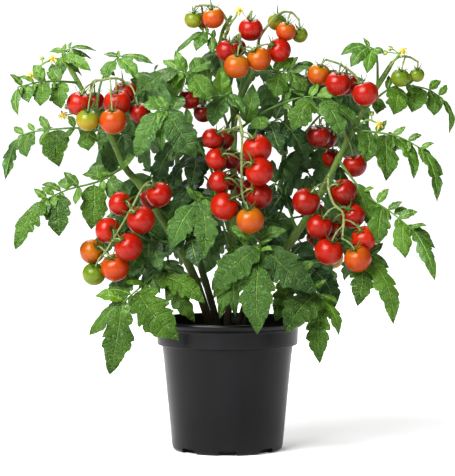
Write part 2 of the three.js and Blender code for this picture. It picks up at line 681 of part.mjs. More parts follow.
// One leaf of a side shoot, from the shoot's fork: two pairs of leaflets and one at the tip.
function shootLeaf(fork, [angle, reach, rise, size]) {
  const turn = THREE.MathUtils.degToRad(angle);
  const out = new THREE.Vector3(Math.cos(turn), Math.sin(turn), 0);
  const side = new THREE.Vector3(-Math.sin(turn), Math.cos(turn), 0);
  const moved = (point, ahead, sideways, up) => point.clone()
    .addScaledVector(out, ahead)
    .addScaledVector(side, sideways)
    .addScaledVector(UP, up);
  const middle = moved(fork, reach / 2, 0, rise);
  const end = moved(fork, reach, 0, rise * SHOOT_STALK_DROP);
  const curve = curveThrough([fork, middle, end]);
  const rows = size < TWO_PAIRS_FROM ? SHOOT_LEAFLETS.slice(0, ONE_PAIR) : SHOOT_LEAFLETS;
  const leaflets = rows.map(([along, ahead, sideways, up, width]) => {
    const base = curve.getPointAt(along);
    return [base, moved(base, size * ahead, size * sideways, size * up), size * width];
  });
  return { curve, root: STALK_ROOT, steps: SHOOT_STALK_STEPS, leaflets };
}

// A side shoot: a short stalk from the stem that forks into its leaves.
function shootBranches({ from, angle, leaves }) {
  const turn = THREE.MathUtils.degToRad(angle);
  const start = pointOn(...from);
  const fork = start.clone().add(new THREE.Vector3(
    FORK_REACH * Math.cos(turn), FORK_REACH * Math.sin(turn), FORK_RISE));
  const past = start.clone().lerp(fork, 1 + SHOOT_ROOT / FORK_REACH);
  return [
    { curve: curveThrough([start, past]), root: SHOOT_ROOT, steps: 1, leaflets: [] },
    ...leaves.map((leaf) => shootLeaf(fork, leaf)),
  ];
}

function leafBranches(leaf) {
  const curve = stalkCurve(leaf);
  const leaflets = leaf.leaflets.map(([along, tip, width]) => [curve.getPoint(along), vector(tip), width]);
  return [{ curve, root: STALK_ROOT, steps: 2 * leaf.path.length, leaflets }];
}

const foliage = {};
for (const [name, leaf] of Object.entries(LEAVES)) foliage[name] = leafBranches(leaf);
for (const [name, shoot] of Object.entries(SHOOTS)) foliage[name] = shootBranches(shoot);

function leafSolid(name, grow) {
  const solids = [];
  for (const { curve, root, steps, leaflets } of foliage[name]) {
    solids.push(rod(curve, root + grow, STALK_TIP + grow, STALK_SIDES, steps));
    for (const leaflet of leaflets) solids.push(leafletSolid(...leaflet, grow));
  }
  return joined(solids);
}

// ---------------------------------------------------------------- flowers

function flowerSolid(centre, grow) {
  const outline = new THREE.Shape();
  for (let i = 0; i < 2 * PETAL_COUNT; i += 1) {
    const radius = (i % 2 === 0 ? 1 : PETAL_NOTCH) * PETAL_LENGTH + grow;
    const angle = (i * Math.PI) / PETAL_COUNT;
    const corner = [radius * Math.cos(angle), radius * Math.sin(angle)];
    if (i === 0) outline.moveTo(...corner);
    else outline.lineTo(...corner);
  }
  const depth = BLADE + 2 * grow;
  const geometry = new THREE.ExtrudeGeometry(outline, { depth, bevelEnabled: false });
  geometry.translate(0, 0, -depth / 2);
  const facing = vector(FLOWER_FACE).normalize();
  geometry.applyQuaternion(new THREE.Quaternion().setFromUnitVectors(UP, facing));
  geometry.translate(centre.x, centre.y, centre.z);
  return solidOf(geometry);
}

function budSolid(centre, grow) {
  const geometry = new THREE.SphereGeometry(BUD_RADIUS + grow, BUD_SIDES, BUD_RINGS);
  geometry.scale(1, 1, BUD_STRETCH);
  geometry.translate(centre.x, centre.y, centre.z);
  return solidOf(geometry);
}

function spraySolid(name, grow) {
  const spray = SPRAYS[name];
  const curve = stalkCurve(spray);
  const solids = [rod(curve, PEDICEL + grow, PEDICEL + grow, STALK_SIDES, spray.path.length)];
  const twig = (end) => {
    const start = curve.getPoint(TWIG_PLACE);
    solids.push(rod(new THREE.LineCurve3(start, end), TWIG + grow, TWIG + grow, STALK_SIDES, 1));
  };
  for (const place of spray.flowers) {
    twig(vector(place));
    solids.push(flowerSolid(vector(place), grow));
  }
  for (const place of spray.buds) {
    twig(vector(place));
    solids.push(budSolid(vector(place), grow));
  }
  return joined(solids);
}

// ---------------------------------------------------------------- assembly

// Every piece in the order that they give way to each other: a piece is cut back where it
// would run into one before it. The makers take how far to grow the shape.
const pieces = [
  { name: 'pot', kind: 'pot', make: () => potSolid() },
  ...Object.keys(STEMS).map((name) => ({ name, kind: 'stem', make: (grow) => stemSolid(name, grow) })),
  { name: 'soil', kind: 'soil', make: () => soilSolid() },
  ...Object.keys(TRUSSES).map((name) => ({ name, kind: 'fruit', make: (grow) => trussSolid(name, grow) })),
  ...Object.keys(foliage).map((name) => ({ name, kind: 'leaf', make: (grow) => leafSolid(name, grow) })),
  ...Object.keys(SPRAYS).map((name) => ({ name, kind: 'flower', make: (grow) => spraySolid(name, grow) })),
];

function boxesMeet(a, b) {
  return [0, 1, 2].every((axis) => a.min[axis] < b.max[axis] && b.min[axis] < a.max[axis]);
}

const materials = {};
for (const kind of Object.keys(COLOURS)) {
  materials[kind] = () => new THREE.MeshStandardMaterial({
    color: COLOURS[kind], roughness: ROUGHNESS[kind], metalness: 0,
  });
}

const plant = new THREE.Group();
const placed = [];
for (const piece of pieces) {
  let solid = piece.make(0);
  for (const other of placed) {
    if (boxesMeet(solid.boundingBox(), other.box)) solid = solid.subtract(other.grown);
  }
  solid = largestBody(solid);
  const grown = piece.make(GAP);
  placed.push({ grown, box: grown.boundingBox() });
  const mesh = new THREE.Mesh(geometryOf(solid), materials[piece.kind]());
  mesh.name = piece.name;
  plant.add(mesh);
}

export default plant;
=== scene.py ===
"""Looks of a cherry tomato plant in a round plastic nursery pot.

Every CAD node is replaced by one detailed piece in the same place. Lengths are in millimetres
until a piece is made, in the row frame: +Z up, -Y the plant's front, and the origin in the
middle of the pot's flat underside.
"""

import math
import random

import bpy
import numpy as np
from mathutils import Matrix, Vector, noise


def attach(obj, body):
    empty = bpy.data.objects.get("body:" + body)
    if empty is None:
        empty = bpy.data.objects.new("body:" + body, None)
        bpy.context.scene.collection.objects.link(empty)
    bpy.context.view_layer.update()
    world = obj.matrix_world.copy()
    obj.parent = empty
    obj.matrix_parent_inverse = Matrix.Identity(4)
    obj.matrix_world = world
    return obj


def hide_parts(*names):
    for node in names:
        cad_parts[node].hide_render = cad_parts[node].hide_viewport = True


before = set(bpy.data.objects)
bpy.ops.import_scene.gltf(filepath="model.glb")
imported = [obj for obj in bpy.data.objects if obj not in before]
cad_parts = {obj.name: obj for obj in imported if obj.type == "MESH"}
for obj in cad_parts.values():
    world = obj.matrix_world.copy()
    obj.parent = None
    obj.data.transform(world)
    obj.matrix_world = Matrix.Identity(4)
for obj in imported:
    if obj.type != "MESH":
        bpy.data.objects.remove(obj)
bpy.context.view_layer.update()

MM = 0.001

# ---------------------------------------------------------------- the pot, as in the CAD

POT_HEIGHT = 131
BASE_RADIUS = 55.5
BASE_CORNER = 4
SHOULDER_RADIUS = 65.6
COLLAR_RADIUS = 70.5
COLLAR_BOTTOM = 106
COLLAR_TOP = 123
LIP_RADIUS = 78
WALL = 2
FLOOR = 2.5
NOTCH_COUNT = 8
NOTCH_WIDTH = 20
NOTCH_TOP_WIDTH = 16
NOTCH_HEIGHT = 5
NOTCH_DEPTH = 9
SOIL_EDGE = 114
SOIL_CROWN = 119

# ---------------------------------------------------------------- the plant, as in the CAD

FORK_REACH = 14
FORK_RISE = 5
SHOOT_ROOT = 2
LEAF_STALK_ROOT = 1.4
FRUIT_SQUASH = 0.95
DEPTH_MIDDLE = 30
# Painted shade: side-shoot leaves are painted darker the less far back their stalks end, as if
# shaded inside the plant.
INSIDE, OUTSIDE = 60, 130        # leaves are dark up to the one depth and bright from the other

# Whatever grows on a stem starts with that stem's name and the place on it, from 0 to 1.
# A path is a given centre line, which begins on the stem where there is one.

# Main stems: [stem, place, radius at both ends, path].
STEMS = {
    "stem_centre": [None, 0, [4, 2], [[2, 2, 72], [0, 0, 120], [4, -2, 190], [6, -2, 260],
        [7, -2, 330], [19, -4, 364], [30, -4, 385], [40, -4, 393]]],
    "stem_left": [None, 0, [4.8, 2], [[-12, 4, 72], [-17, 4, 120], [-37, 0, 181], [-62, -4, 226],
        [-87, -8, 265], [-102, -9, 283], [-115, -10, 311], [-128, -11, 334], [-142, -10, 356],
        [-160, -8, 388]]],
    "stem_right": [None, 0, [4.6, 2], [[13, 4, 72], [17, 3, 120], [40, 0, 168], [66, -4, 212],
        [80, -6, 234], [101, -8, 272], [118, -7, 307], [126, -6, 322], [139, -3, 346],
        [165, 4, 388]]],
    "stem_back_left": [None, 0, [4.2, 2], [[-8, 18, 72], [-10, 22, 120], [-30, 48, 190],
        [-46, 68, 250], [-54, 80, 310], [-54, 86, 350]]],
    "stem_back_right": [None, 0, [4.2, 2], [[10, 18, 72], [12, 23, 120], [34, 48, 190],
        [52, 68, 250], [60, 80, 310], [60, 88, 356]]],
    "stem_top": ["stem_centre", 0.56, [2.6, 1.5], [[2, 3, 362], [-7, 5, 395], [-5, 3, 418],
        [4, 1, 434]]],
}

# Trusses: [stem, place, path], then each fruit as
# [x, y and z of its centre, diameter, place of its pedicel along the stalk, ripeness].
TRUSSES = {
    "truss_top_left": ["stem_top", 0.62, [[1, -4, 422], [-8, -5, 440], [-22, -2, 444],
        [-32, 0, 443]], [-34, -4, 430, 18, 1, 0.12], [-14, -16, 431, 22, 0.7, 0.62],
        [-24, 11, 430, 18, 0.85, 0.72]],
    "truss_top": ["stem_centre", 0.86, [[17, -10, 398], [12, -12, 410], [16, -10, 424],
        [24, -6, 438]], [23, -8, 420, 24.5, 1, 0.92], [0, -15, 398, 23.5, 0.6, 0.93],
        [9, 3, 402, 19.5, 0.6, 0.96], [9, -32, 383, 25.5, 0.4, 0.6],
        [31, -26, 390, 24.5, 0.3, 0.63], [51, -12, 399, 24.5, 0.2, 0.9]],
    "truss_top_right": ["stem_centre", 0.96, [[31, -4, 408], [41, -4, 425], [52, -4, 436],
        [63, -4, 437], [71, -2, 430]], [49, 8, 428, 18, 0.65, 0.2], [58, -9, 418, 20, 0.8, 0.64],
        [72, 3, 415, 16.5, 1, 0.05]],
    "truss_right_upper": ["stem_right", 0.87, [[130, -12, 369], [114, -12, 384], [98, -9, 390]],
        [91, -9, 375, 23.5, 1, 0.6], [109, -23, 366, 25.5, 0.7, 0.92],
        [120, 0, 365, 21.5, 0.6, 0.95], [136, -27, 356, 26, 0.2, 0.9]],
    "truss_far_right": ["stem_right", 0.96, [[168, 0, 391], [180, -1, 393], [190, -1, 388]],
        [172, -6, 372, 19, 0.6, 0.03], [189, -1, 375, 15, 1, 0.08]],
    "truss_left_upper": ["stem_left", 0.84, [[-134, -20, 366], [-122, -22, 370], [-108, -18, 371],
        [-96, -16, 364]], [-146, -31, 346, 25, 0.25, 0.86], [-133, 9, 349, 19.5, 0.3, 0.9],
        [-109, -27, 347, 27.5, 0.7, 0.84], [-102, -3, 357, 24.5, 0.8, 0.93],
        [-137, -47, 330, 22.5, 0.35, 0.22], [-112, -47, 329, 27, 0.6, 0.66],
        [-87, -20, 337, 21.5, 1, 0.95]],
    "truss_left_hidden": ["stem_centre", 0.52, [[-10, -10, 350], [-26, -15, 364], [-36, -18, 366]],
        [-38, -22, 351, 21.5, 1, 0.95], [-24, -14, 337, 19.5, 0.7, 1.0]],
    "truss_centre": ["stem_centre", 0.53, [[10, -26, 334], [14, -44, 318], [14, -50, 290],
        [14, -52, 262], [16, -57, 250]], [-15, -52, 312, 20.5, 0.4, 0.95],
        [-11, -56, 292, 21.5, 0.6, 0.92], [-8, -58, 270, 22, 0.8, 0.93],
        [-3, -62, 246, 28, 0.97, 0.88], [-3, -35, 311, 19.5, 0.35, 1.0],
        [3, -36, 291, 19.5, 0.55, 1.0], [4, -39, 269, 17, 0.75, 1.0], [29, -52, 302, 29, 0.4, 0.9],
        [31, -68, 280, 28, 0.65, 0.9], [31, -51, 256, 27, 0.85, 0.94],
        [22, -72, 233, 27.5, 1, 0.6]],
    "truss_left_lower": ["stem_left", 0.4, [[-76, -26, 268], [-84, -46, 262], [-94, -56, 243],
        [-104, -63, 226], [-116, -60, 206], [-120, -60, 200]], [-67, -50, 257, 25.5, 0.3, 0.92],
        [-76, -29, 252, 21.5, 0.25, 0.97], [-105, -49, 248, 23.5, 0.5, 0.88],
        [-84, -67, 233, 28, 0.55, 0.91], [-117, -51, 222, 25.5, 0.75, 0.86],
        [-96, -72, 207, 28, 0.8, 0.9], [-133, -46, 201, 24.5, 0.95, 0.6],
        [-110, -57, 186, 28, 1, 0.7], [-131, -49, 179, 23, 1, 0.03]],
    "truss_right_lower": ["stem_right", 0.52, [[100, -26, 276], [99, -42, 264], [104, -55, 248],
        [113, -58, 238], [112, -60, 214]], [77, -50, 250, 28, 0.35, 0.95],
        [90, -54, 226, 25.5, 0.65, 0.93], [99, -58, 202, 28, 0.9, 0.88],
        [114, -39, 259, 27, 0.4, 0.96], [123, -41, 236, 25, 0.7, 0.92],
        [102, -35, 223, 22.5, 0.8, 1.0], [134, -48, 214, 25.5, 0.85, 0.8],
        [127, -63, 195, 27, 1, 0.67]],
    "truss_right_hidden": ["stem_right", 0.68, [[112, -16, 324], [102, -14, 331], [94, -10, 332]],
        [90, -16, 314, 23.5, 1, 0.98], [99, 5, 312, 21.5, 0.8, 1.0],
        [105, 13, 292, 19.5, 0.5, 0.9], [127, -4, 285, 24.5, 0.2, 0.94]],
    "truss_back_left": ["stem_back_left", 0.6, [[-64, 92, 268], [-84, 110, 256], [-94, 120, 238],
        [-96, 122, 214]], [-112, 112, 236, 24, 0.6, 0.9], [-80, 128, 234, 25, 0.6, 0.93],
        [-112, 120, 211, 25, 0.85, 0.86], [-82, 124, 207, 23, 0.85, 0.7],
        [-97, 124, 186, 24, 1, 0.58]],
    "truss_back_right": ["stem_back_right", 0.58, [[72, 92, 264], [94, 110, 254], [106, 120, 236],
        [110, 122, 212]], [92, 128, 232, 24, 0.6, 0.94], [124, 114, 234, 25, 0.6, 0.9],
        [95, 126, 205, 24, 0.85, 0.88], [126, 120, 208, 23, 0.85, 0.66],
        [111, 124, 184, 23, 1, 0.3]],
    "truss_back_centre": ["stem_centre", 0.46, [[8, 26, 306], [6, 48, 304], [4, 62, 288],
        [4, 66, 262]], [-10, 68, 288, 24, 0.6, 0.93], [20, 68, 284, 25, 0.65, 0.9],
        [-10, 72, 262, 24, 0.85, 0.88], [20, 72, 257, 25, 0.9, 0.94], [4, 76, 238, 23, 1, 0.64]],
}

# Compound leaves: [stem, place, light and shade from -1 to 1, path], then each leaflet as
# [place along the stalk, x, y and z of its tip, width]. The third number is painted light and
# shade: low values are painted shade, dark, with a bluish painted sheen, high values lit green.
LEAVES = {
    "leaf_far_left_upper": ["stem_left", 0.93, 0.3, [[-166, -30, 368], [-184, -46, 367],
        [-204, -58, 362]], [1, -203, -66, 334, 12], [0.85, -193, -60, 347, 15],
        [0.62, -183, -60, 344, 22], [0.3, -163, -44, 341, 22], [0.5, -184, -22, 356, 15],
        [0.6, -190, -38, 384, 14], [0.3, -174, -10, 386, 14]],
    "leaf_left_tip": ["stem_left", 0.97, 0.3, [[-164, -6, 394], [-156, -4, 402]],
        [1, -131, 4, 399, 8], [0.75, -136, 10, 391, 9], [0.5, -135, -20, 379, 17],
        [0.45, -146, 14, 374, 10], [0.8, -178, 2, 398, 9], [0.5, -169, -8, 371, 16]],
    "leaf_left_crown": ["stem_left", 0.8, 0.1, [[-126, 0, 368], [-114, -2, 387], [-107, -4, 394]],
        [1, -74, -8, 386, 11], [0.9, -89, -16, 370, 16], [0.75, -120, -14, 370, 20],
        [0.95, -124, 4, 396, 8]],
    "leaf_centre_left_upper": ["stem_centre", 0.6, 0.25, [[-12, -20, 356], [-34, -34, 374],
        [-46, -38, 379]], [1, -91, -48, 352, 34], [0.7, -17, -46, 347, 26],
        [0.85, -54, -30, 352, 22], [0.75, -17, -20, 389, 20], [0.95, -64, -22, 389, 13],
        [0.2, -7, -22, 382, 20]],
    "leaf_centre_left_lower": ["stem_centre", 0.36, -0.1, [[-28, -30, 306], [-56, -48, 338],
        [-68, -52, 340]], [1, -89, -58, 293, 26], [0.8, -31, -58, 292, 32],
        [0.65, -64, -54, 300, 20], [0.9, -84, -46, 345, 14], [0.65, -44, -34, 354, 18]],
    "leaf_left_middle": ["stem_left", 0.56, 0.25, [[-126, -28, 270], [-156, -48, 262],
        [-179, -62, 252]], [1, -205, -80, 205, 27], [0.78, -163, -72, 217, 29],
        [0.4, -134, -46, 223, 29], [0.7, -160, -26, 274, 18], [0.35, -130, -8, 288, 20],
        [0.9, -198, -44, 226, 22], [0.25, -96, -30, 246, 22], [0.08, -92, -30, 294, 20]],
    "leaf_far_left": ["stem_left", 0.7, 0.4, [[-151, 4, 322], [-191, 22, 319], [-211, 30, 314]],
        [1, -226, 38, 269, 16], [0.8, -202, 12, 293, 22], [0.5, -169, -6, 284, 31],
        [0.2, -139, -16, 300, 22], [0.62, -184, 40, 318, 18]],
    "leaf_left_low": ["stem_left", 0.2, 0.65, [[-62, -32, 182], [-86, -56, 166], [-102, -66, 152]],
        [1, -114, -82, 84, 34], [0.9, -135, -62, 120, 24], [0.72, -47, -86, 117, 40],
        [0.45, -22, -60, 152, 26], [0.4, -32, -46, 131, 24]],
    "leaf_front": ["stem_centre", 0.24, 0, [[16, -34, 214], [30, -60, 212], [32, -70, 202]],
        [1, 29, -98, 124, 38], [0.85, -15, -88, 166, 36], [0.85, 85, -80, 163, 38],
        [0.6, 0, -60, 226, 14], [0.65, 58, -58, 222, 16], [0.3, -14, -40, 154, 26],
        [0.2, 8, -42, 135, 18], [0.22, -8, -44, 134, 22]],
    "leaf_front_left": ["stem_centre", 0.3, -0.3, [[-14, -30, 250], [-32, -48, 249]],
        [1, -55, -64, 204, 27], [0.85, -24, -72, 194, 27], [0.6, -46, -26, 222, 20]],
    "leaf_right_low": ["stem_right", 0.22, 0.8, [[64, -28, 176], [84, -50, 166], [92, -57, 156]],
        [1, 90, -68, 93, 26], [0.85, 55, -88, 125, 38], [0.95, 109, -60, 119, 17],
        [0.5, 82, -12, 146, 20], [0.3, 47, -50, 132, 25]],
    "leaf_right_drop": ["stem_right", 0.42, 0.35, [[106, -24, 223], [126, -38, 208],
        [139, -46, 196]], [1, 162, -62, 130, 25], [0.85, 127, -58, 148, 27],
        [0.6, 116, -16, 170, 18], [0.75, 160, -26, 184, 18]],
    "leaf_right_middle": ["stem_right", 0.61, 0.3, [[136, -24, 257], [160, -44, 240],
        [181, -60, 223]], [1, 201, -80, 175, 17], [0.85, 172, -76, 196, 21],
        [0.55, 147, -58, 208, 25], [0.9, 204, -50, 204, 15], [0.42, 152, -12, 216, 20],
        [0.7, 184, -34, 236, 14], [0.2, 143, -36, 222, 25]],
    "leaf_far_right": ["stem_right", 0.76, 0.4, [[147, -20, 318], [170, -32, 313],
        [192, -42, 301]], [1, 205, -52, 250, 17], [0.92, 212, -36, 276, 14],
        [0.62, 183, -46, 273, 20], [0.45, 155, -46, 270, 27], [0.2, 135, -36, 288, 25],
        [0.5, 170, -2, 300, 16]],
    "leaf_far_right_upper": ["stem_right", 0.87, 0.4, [[166, 6, 363], [198, 20, 362],
        [217, 26, 352]], [1, 225, 32, 317, 12], [0.85, 207, 14, 334, 19], [0.62, 184, 6, 338, 24],
        [0.38, 165, -6, 335, 25], [0.15, 149, -14, 336, 19], [0.55, 186, 38, 350, 16]],
    "leaf_right_crown": ["stem_right", 0.94, 0.2, [[148, -6, 396], [138, -8, 404]],
        [1, 112, -10, 394, 11], [0.9, 122, -18, 382, 16], [0.75, 138, -20, 376, 15],
        [0.7, 155, -12, 396, 10]],
    "leaf_centre_right": ["stem_centre", 0.54, 0.05, [[40, -6, 340], [72, -16, 352],
        [94, -22, 352]], [1, 113, -34, 313, 25], [0.85, 64, -38, 319, 28],
        [0.72, 62, -12, 362, 16], [0.95, 132, -16, 322, 20], [0.9, 118, -12, 360, 17],
        [0.25, 33, -14, 320, 22], [0.12, 25, -12, 366, 20]],
    "leaf_top_right": ["stem_centre", 0.8, 0.3, [[46, -6, 378], [62, -10, 379]],
        [1, 78, -16, 358, 24], [0.7, 47, -20, 352, 25], [0.85, 90, 2, 382, 18]],
    "leaf_centre": ["stem_centre", 0.64, -0.3, [[2, -16, 356], [-3, -20, 353]],
        [1, -15, -28, 324, 26], [0.7, 17, -24, 336, 15]],
    "leaf_top_left": ["stem_top", 0.5, 0.2, [[-16, 0, 414], [-25, -2, 418]], [1, -51, -6, 397, 10],
        [0.8, -31, -14, 398, 15], [0.5, -15, -12, 396, 11]],
}

# Side shoots: [stem, place, compass angle that the shoot sets out at], then each of its leaves
# as [compass angle, reach, rise of its stalk, size of its leaflets].
SHOOTS = {
    "shoot_rear_left_low": ["stem_back_left", 0.33, 172, [136, 88, 14, 54], [207, 58, 43, 47],
        [167, 56, 48, 43]],
    "shoot_rear_left_middle": ["stem_back_left", 0.5, 118, [82, 60, 8, 48], [186, 68, 6, 46],
        [222, 62, 52, 52]],
    "shoot_rear_left_high": ["stem_back_left", 0.84, 186, [138, 68, 14, 46], [182, 60, 30, 44],
        [232, 62, -12, 54]],
    "shoot_rear_left_tip": ["stem_back_left", 0.97, 190, [112, 44, 24, 42], [250, 46, 20, 46]],
    "shoot_rear_right_low": ["stem_back_right", 0.3, 10, [-28, 58, 34, 46], [46, 80, 30, 50],
        [12, 56, 50, 42]],
    "shoot_rear_right_middle": ["stem_back_right", 0.5, 62, [98, 60, 8, 48], [-6, 68, 6, 46],
        [-38, 60, 52, 50]],
    "shoot_rear_right_high": ["stem_back_right", 0.78, -6, [42, 68, 12, 46], [-2, 60, 30, 44],
        [-70, 46, -12, 54]],
    "shoot_rear_right_tip": ["stem_back_right", 0.97, -10, [68, 44, 24, 42], [-66, 48, 20, 46],
        [-20, 52, 14, 46]],
    "shoot_rear_centre": ["stem_centre", 0.58, 90, [54, 50, 52, 45], [126, 46, 60, 45],
        [196, 56, -44, 52], [-6, 46, -12, 50]],
    "shoot_rear_low": ["stem_back_right", 0.38, 100, [64, 62, 6, 48], [136, 52, 28, 44]],
    "shoot_inner_left": ["stem_left", 0.27, 256, [222, 42, 4, 42], [294, 36, 20, 38]],
    "shoot_inner_centre": ["stem_centre", 0.33, 100, [36, 50, 12, 48], [108, 43, 34, 42],
        [172, 50, 56, 52]],
    "shoot_inner_right": ["stem_right", 0.34, 78, [42, 54, 12, 46], [150, 46, 46, 46]],
}

# A shoot leaf's leaflets, in units of its size, as
# [place along the stalk, then the tip ahead of, beside and above that place, width].
SHOOT_LEAFLETS = [
    [1, 0.5, 0, -0.85, 0.55],
    [0.75, 0.3, -0.66, -0.65, 0.46], [0.75, 0.3, 0.66, -0.65, 0.46],
    [0.5, 0.05, -0.58, -0.5, 0.4], [0.5, 0.05, 0.58, -0.5, 0.4],
]
SHOOT_STALK_DROP = 0.6
TWO_PAIRS_FROM = 46              # smaller leaves have only the first pair
ONE_PAIR = 3

# Flower sprays: [stem, place, path, open flowers, buds].
SPRAYS = {
    "spray_left": ["stem_left", 0.96, [[-166, -16, 390], [-178, -20, 388], [-190, -24, 380]],
        [[-194, -27, 374], [-173, -23, 391]], [[-184, -14, 391]]],
    "spray_left_middle": ["stem_left", 0.72, [[-140, -26, 332], [-156, -32, 338]],
        [[-162, -36, 335]], [[-158, -26, 343]]],
    "spray_top": ["stem_top", 0.9, [[6, 0, 430], [10, -2, 436]], [[12, -4, 439]], [[0, -6, 421],
        [-3, -8, 414]]],
    "spray_right": ["stem_right", 0.98, [[168, -8, 392], [172, -10, 397]], [[174, -13, 399]],
        [[157, -8, 397], [162, -10, 401]]],
    "spray_right_middle": ["stem_right", 0.77, [[138, -16, 330], [146, -20, 328]],
        [[150, -24, 326]], [[143, -16, 336]]],
}

# ---------------------------------------------------------------- vectors and curves

UP = np.array([0.0, 0.0, 1.0])
TURN = 2 * math.pi


def unit(vector):
    return vector / np.linalg.norm(vector)


def unit_rows(rows):
    return rows / np.linalg.norm(rows, axis=1)[:, None]


def turned(vector, axis, angle):
    """The vector turned about an axis through the origin, in radians."""
    return np.array(Matrix.Rotation(angle, 3, Vector(axis)) @ Vector(vector))


def sideways(direction):
    """Any direction square to the given one."""
    other = UP if abs(direction[2]) < 0.9 else np.array([1.0, 0.0, 0.0])
    return unit(np.cross(direction, other))


def smooth(x):
    x = np.clip(x, 0, 1)
    return x * x * (3 - 2 * x)


def bell(x, centre, width):
    """1 at the centre, and near 0 from two widths away."""
    return np.exp(-((x - centre) / width)**2)


def span_between(t, start, leave, end, arrive):
    """The point at t from 0 to 1 on the cubic with those ends and speeds."""
    return (start * (2 * t**3 - 3 * t**2 + 1) + end * (3 * t**2 - 2 * t**3)
            + leave * (t**3 - 2 * t**2 + t) + arrive * (t**3 - t**2))


def bent_line(start, leave, end, arrive, count):
    """Points from start to end that set off along leave and come in along arrive."""
    return span_between(np.linspace(0, 1, count)[:, None], start, leave, end, arrive)


def on_curve(points, places):
    """Points at places from 0 to 1 along a smooth curve through given points."""
    points = np.asarray(points, float)
    padded = np.vstack([2 * points[0] - points[1], points, 2 * points[-1] - points[-2]])
    along = np.clip(np.atleast_1d(places), 0, 1) * (len(points) - 1)
    span = np.minimum(along.astype(int), len(points) - 2)
    before, start, end, after = (padded[span + k] for k in range(4))
    return span_between((along - span)[:, None], start, (end - before) / 2, end,
                        (after - start) / 2)


def place_at(points, share):
    """The place on a curve that is a share of its length along."""
    places = np.linspace(0, 1, 61)
    steps = np.linalg.norm(np.diff(on_curve(points, places), axis=0), axis=1)
    lengths = np.r_[0, np.cumsum(steps)]
    return float(np.interp(share * lengths[-1], lengths, places))


def joint(stem, place):
    """The point on a stem that something grows from."""
    return on_curve(stem_points(stem), place)[0]


def stem_points(name):
    stem, place, _, path = STEMS[name]
    return np.array([joint(stem, place), *path] if stem else path, float)


def stalk_points(stem, place, path):
    return np.array([joint(stem, place), *path], float)


# ---------------------------------------------------------------- shapes


class Shape:
    """The points and faces of one piece while it is made, in millimetres. Its materials read
    place, which differs from point to point, and mark, which is the same over an element."""

    def __init__(self):
        self.points, self.places, self.marks, self.faces, self.slots = [], [], [], [], []
        self.count = 0

    def add(self, points, places, mark, faces, slots):
        self.points.append(points)
        self.places.append(places)
        self.marks.append(np.tile(np.asarray(mark, float), (len(points), 1)))
        for face, slot in zip(faces, slots):
            self.faces.extend((face + self.count).tolist())
            self.slots.extend([slot] * len(face))
        self.count += len(points)


def grid_faces(index, flip=False):
    """Quads over a grid of point numbers."""
    a, b, c, d = index[:-1, :-1], index[1:, :-1], index[1:, 1:], index[:-1, 1:]
    corners = (a, d, c, b) if flip else (a, b, c, d)
    return np.stack(corners, -1).reshape(-1, 4)


def add_blade(shape, top, under, places, mark, slots):
    """A thin closed blade: two grids of points that share their border."""
    rows, columns = top.shape[:2]
    index = np.arange(rows * columns).reshape(rows, columns)
    below = index.copy()
    inner = (rows - 2) * (columns - 2)
    below[1:-1, 1:-1] = rows * columns + np.arange(inner).reshape(rows - 2, columns - 2)
    points = np.vstack([top.reshape(-1, 3), under[1:-1, 1:-1].reshape(-1, 3)])
    both = np.vstack([places.reshape(-1, 3), places[1:-1, 1:-1].reshape(-1, 3)])
    shape.add(points, both, mark, [grid_faces(index), grid_faces(below, flip=True)], slots)


def add_ribbon(shape, line, widths, across, cup, thick, axis, rng, slot, facing=None):
    """A narrow pointed blade along a line. Cup and thick are given at each place across: how far
    it stands off the line, in half widths, and its half thickness in mm. It faces the way that
    facing says, or square to its own line."""
    ahead = np.gradient(line, axis=0)
    side = unit_rows(np.cross(ahead, axis))
    normal = unit_rows(np.cross(side, ahead))[:, None] if facing is None else facing
    spot = line[:, None] + (widths[:, None] * across)[..., None] * side[:, None]
    spot = spot + (widths[:, None] * cup)[..., None] * normal
    body = thick[None, :, None] * normal
    length = np.linspace(0, 1, len(line))[:, None]
    places = np.stack(np.broadcast_arrays(length, across, rng.random()), -1)
    add_blade(shape, spot + body, spot - body, places, (rng.random(), 0, 0), [slot, slot])


def add_rings(shape, rings, ends, along, slot, mark, flip=False):
    """A closed skin over rings of points, with one point at either end. Along has one number
    for each ring and each end."""
    count, sides = len(rings), len(rings[0])
    index = np.arange(count * sides).reshape(count, sides)
    index = np.hstack([index, index[:, :1]])
    caps = [[count * sides, index[0, k], index[0, k + 1]] for k in range(sides)]
    caps += [[count * sides + 1, index[-1, k + 1], index[-1, k]] for k in range(sides)]
    caps = np.array(caps)[:, [0, 2, 1] if flip else [0, 1, 2]]
    angles = np.arange(sides) * TURN / sides
    around = np.stack([np.repeat(along[1:-1], sides), np.tile(np.cos(angles), count),
                       np.tile(np.sin(angles), count)], -1)
    places = np.vstack([around, [[along[0], 0, 0], [along[-1], 0, 0]]])
    shape.add(np.vstack([*rings, *ends]), places, mark, [grid_faces(index, flip), caps],
              [slot, slot])


def add_tube(shape, path, radii, sides, slot, mark, ribs=0.0):
    """A closed round rod along a path. Ribs make it slightly three-cornered, as a share."""
    path = np.asarray(path, float)
    ahead = unit_rows(np.gradient(path, axis=0))
    angles = np.arange(sides) * TURN / sides
    normal = sideways(ahead[0])
    rings = []
    for centre, direction, radius in zip(path, ahead, np.broadcast_to(radii, len(path))):
        normal = unit(normal - direction * normal.dot(direction))
        side = np.cross(direction, normal)
        reach = radius * (1 + ribs * np.cos(3 * angles))[:, None]
        rings.append(centre + reach * (np.cos(angles)[:, None] * normal
                                       + np.sin(angles)[:, None] * side))
    steps = np.r_[0, np.cumsum(np.linalg.norm(np.diff(path, axis=0), axis=1))]
    add_rings(shape, rings, [path[:1], path[-1:]], [0, *steps, steps[-1]], slot, mark, flip=True)


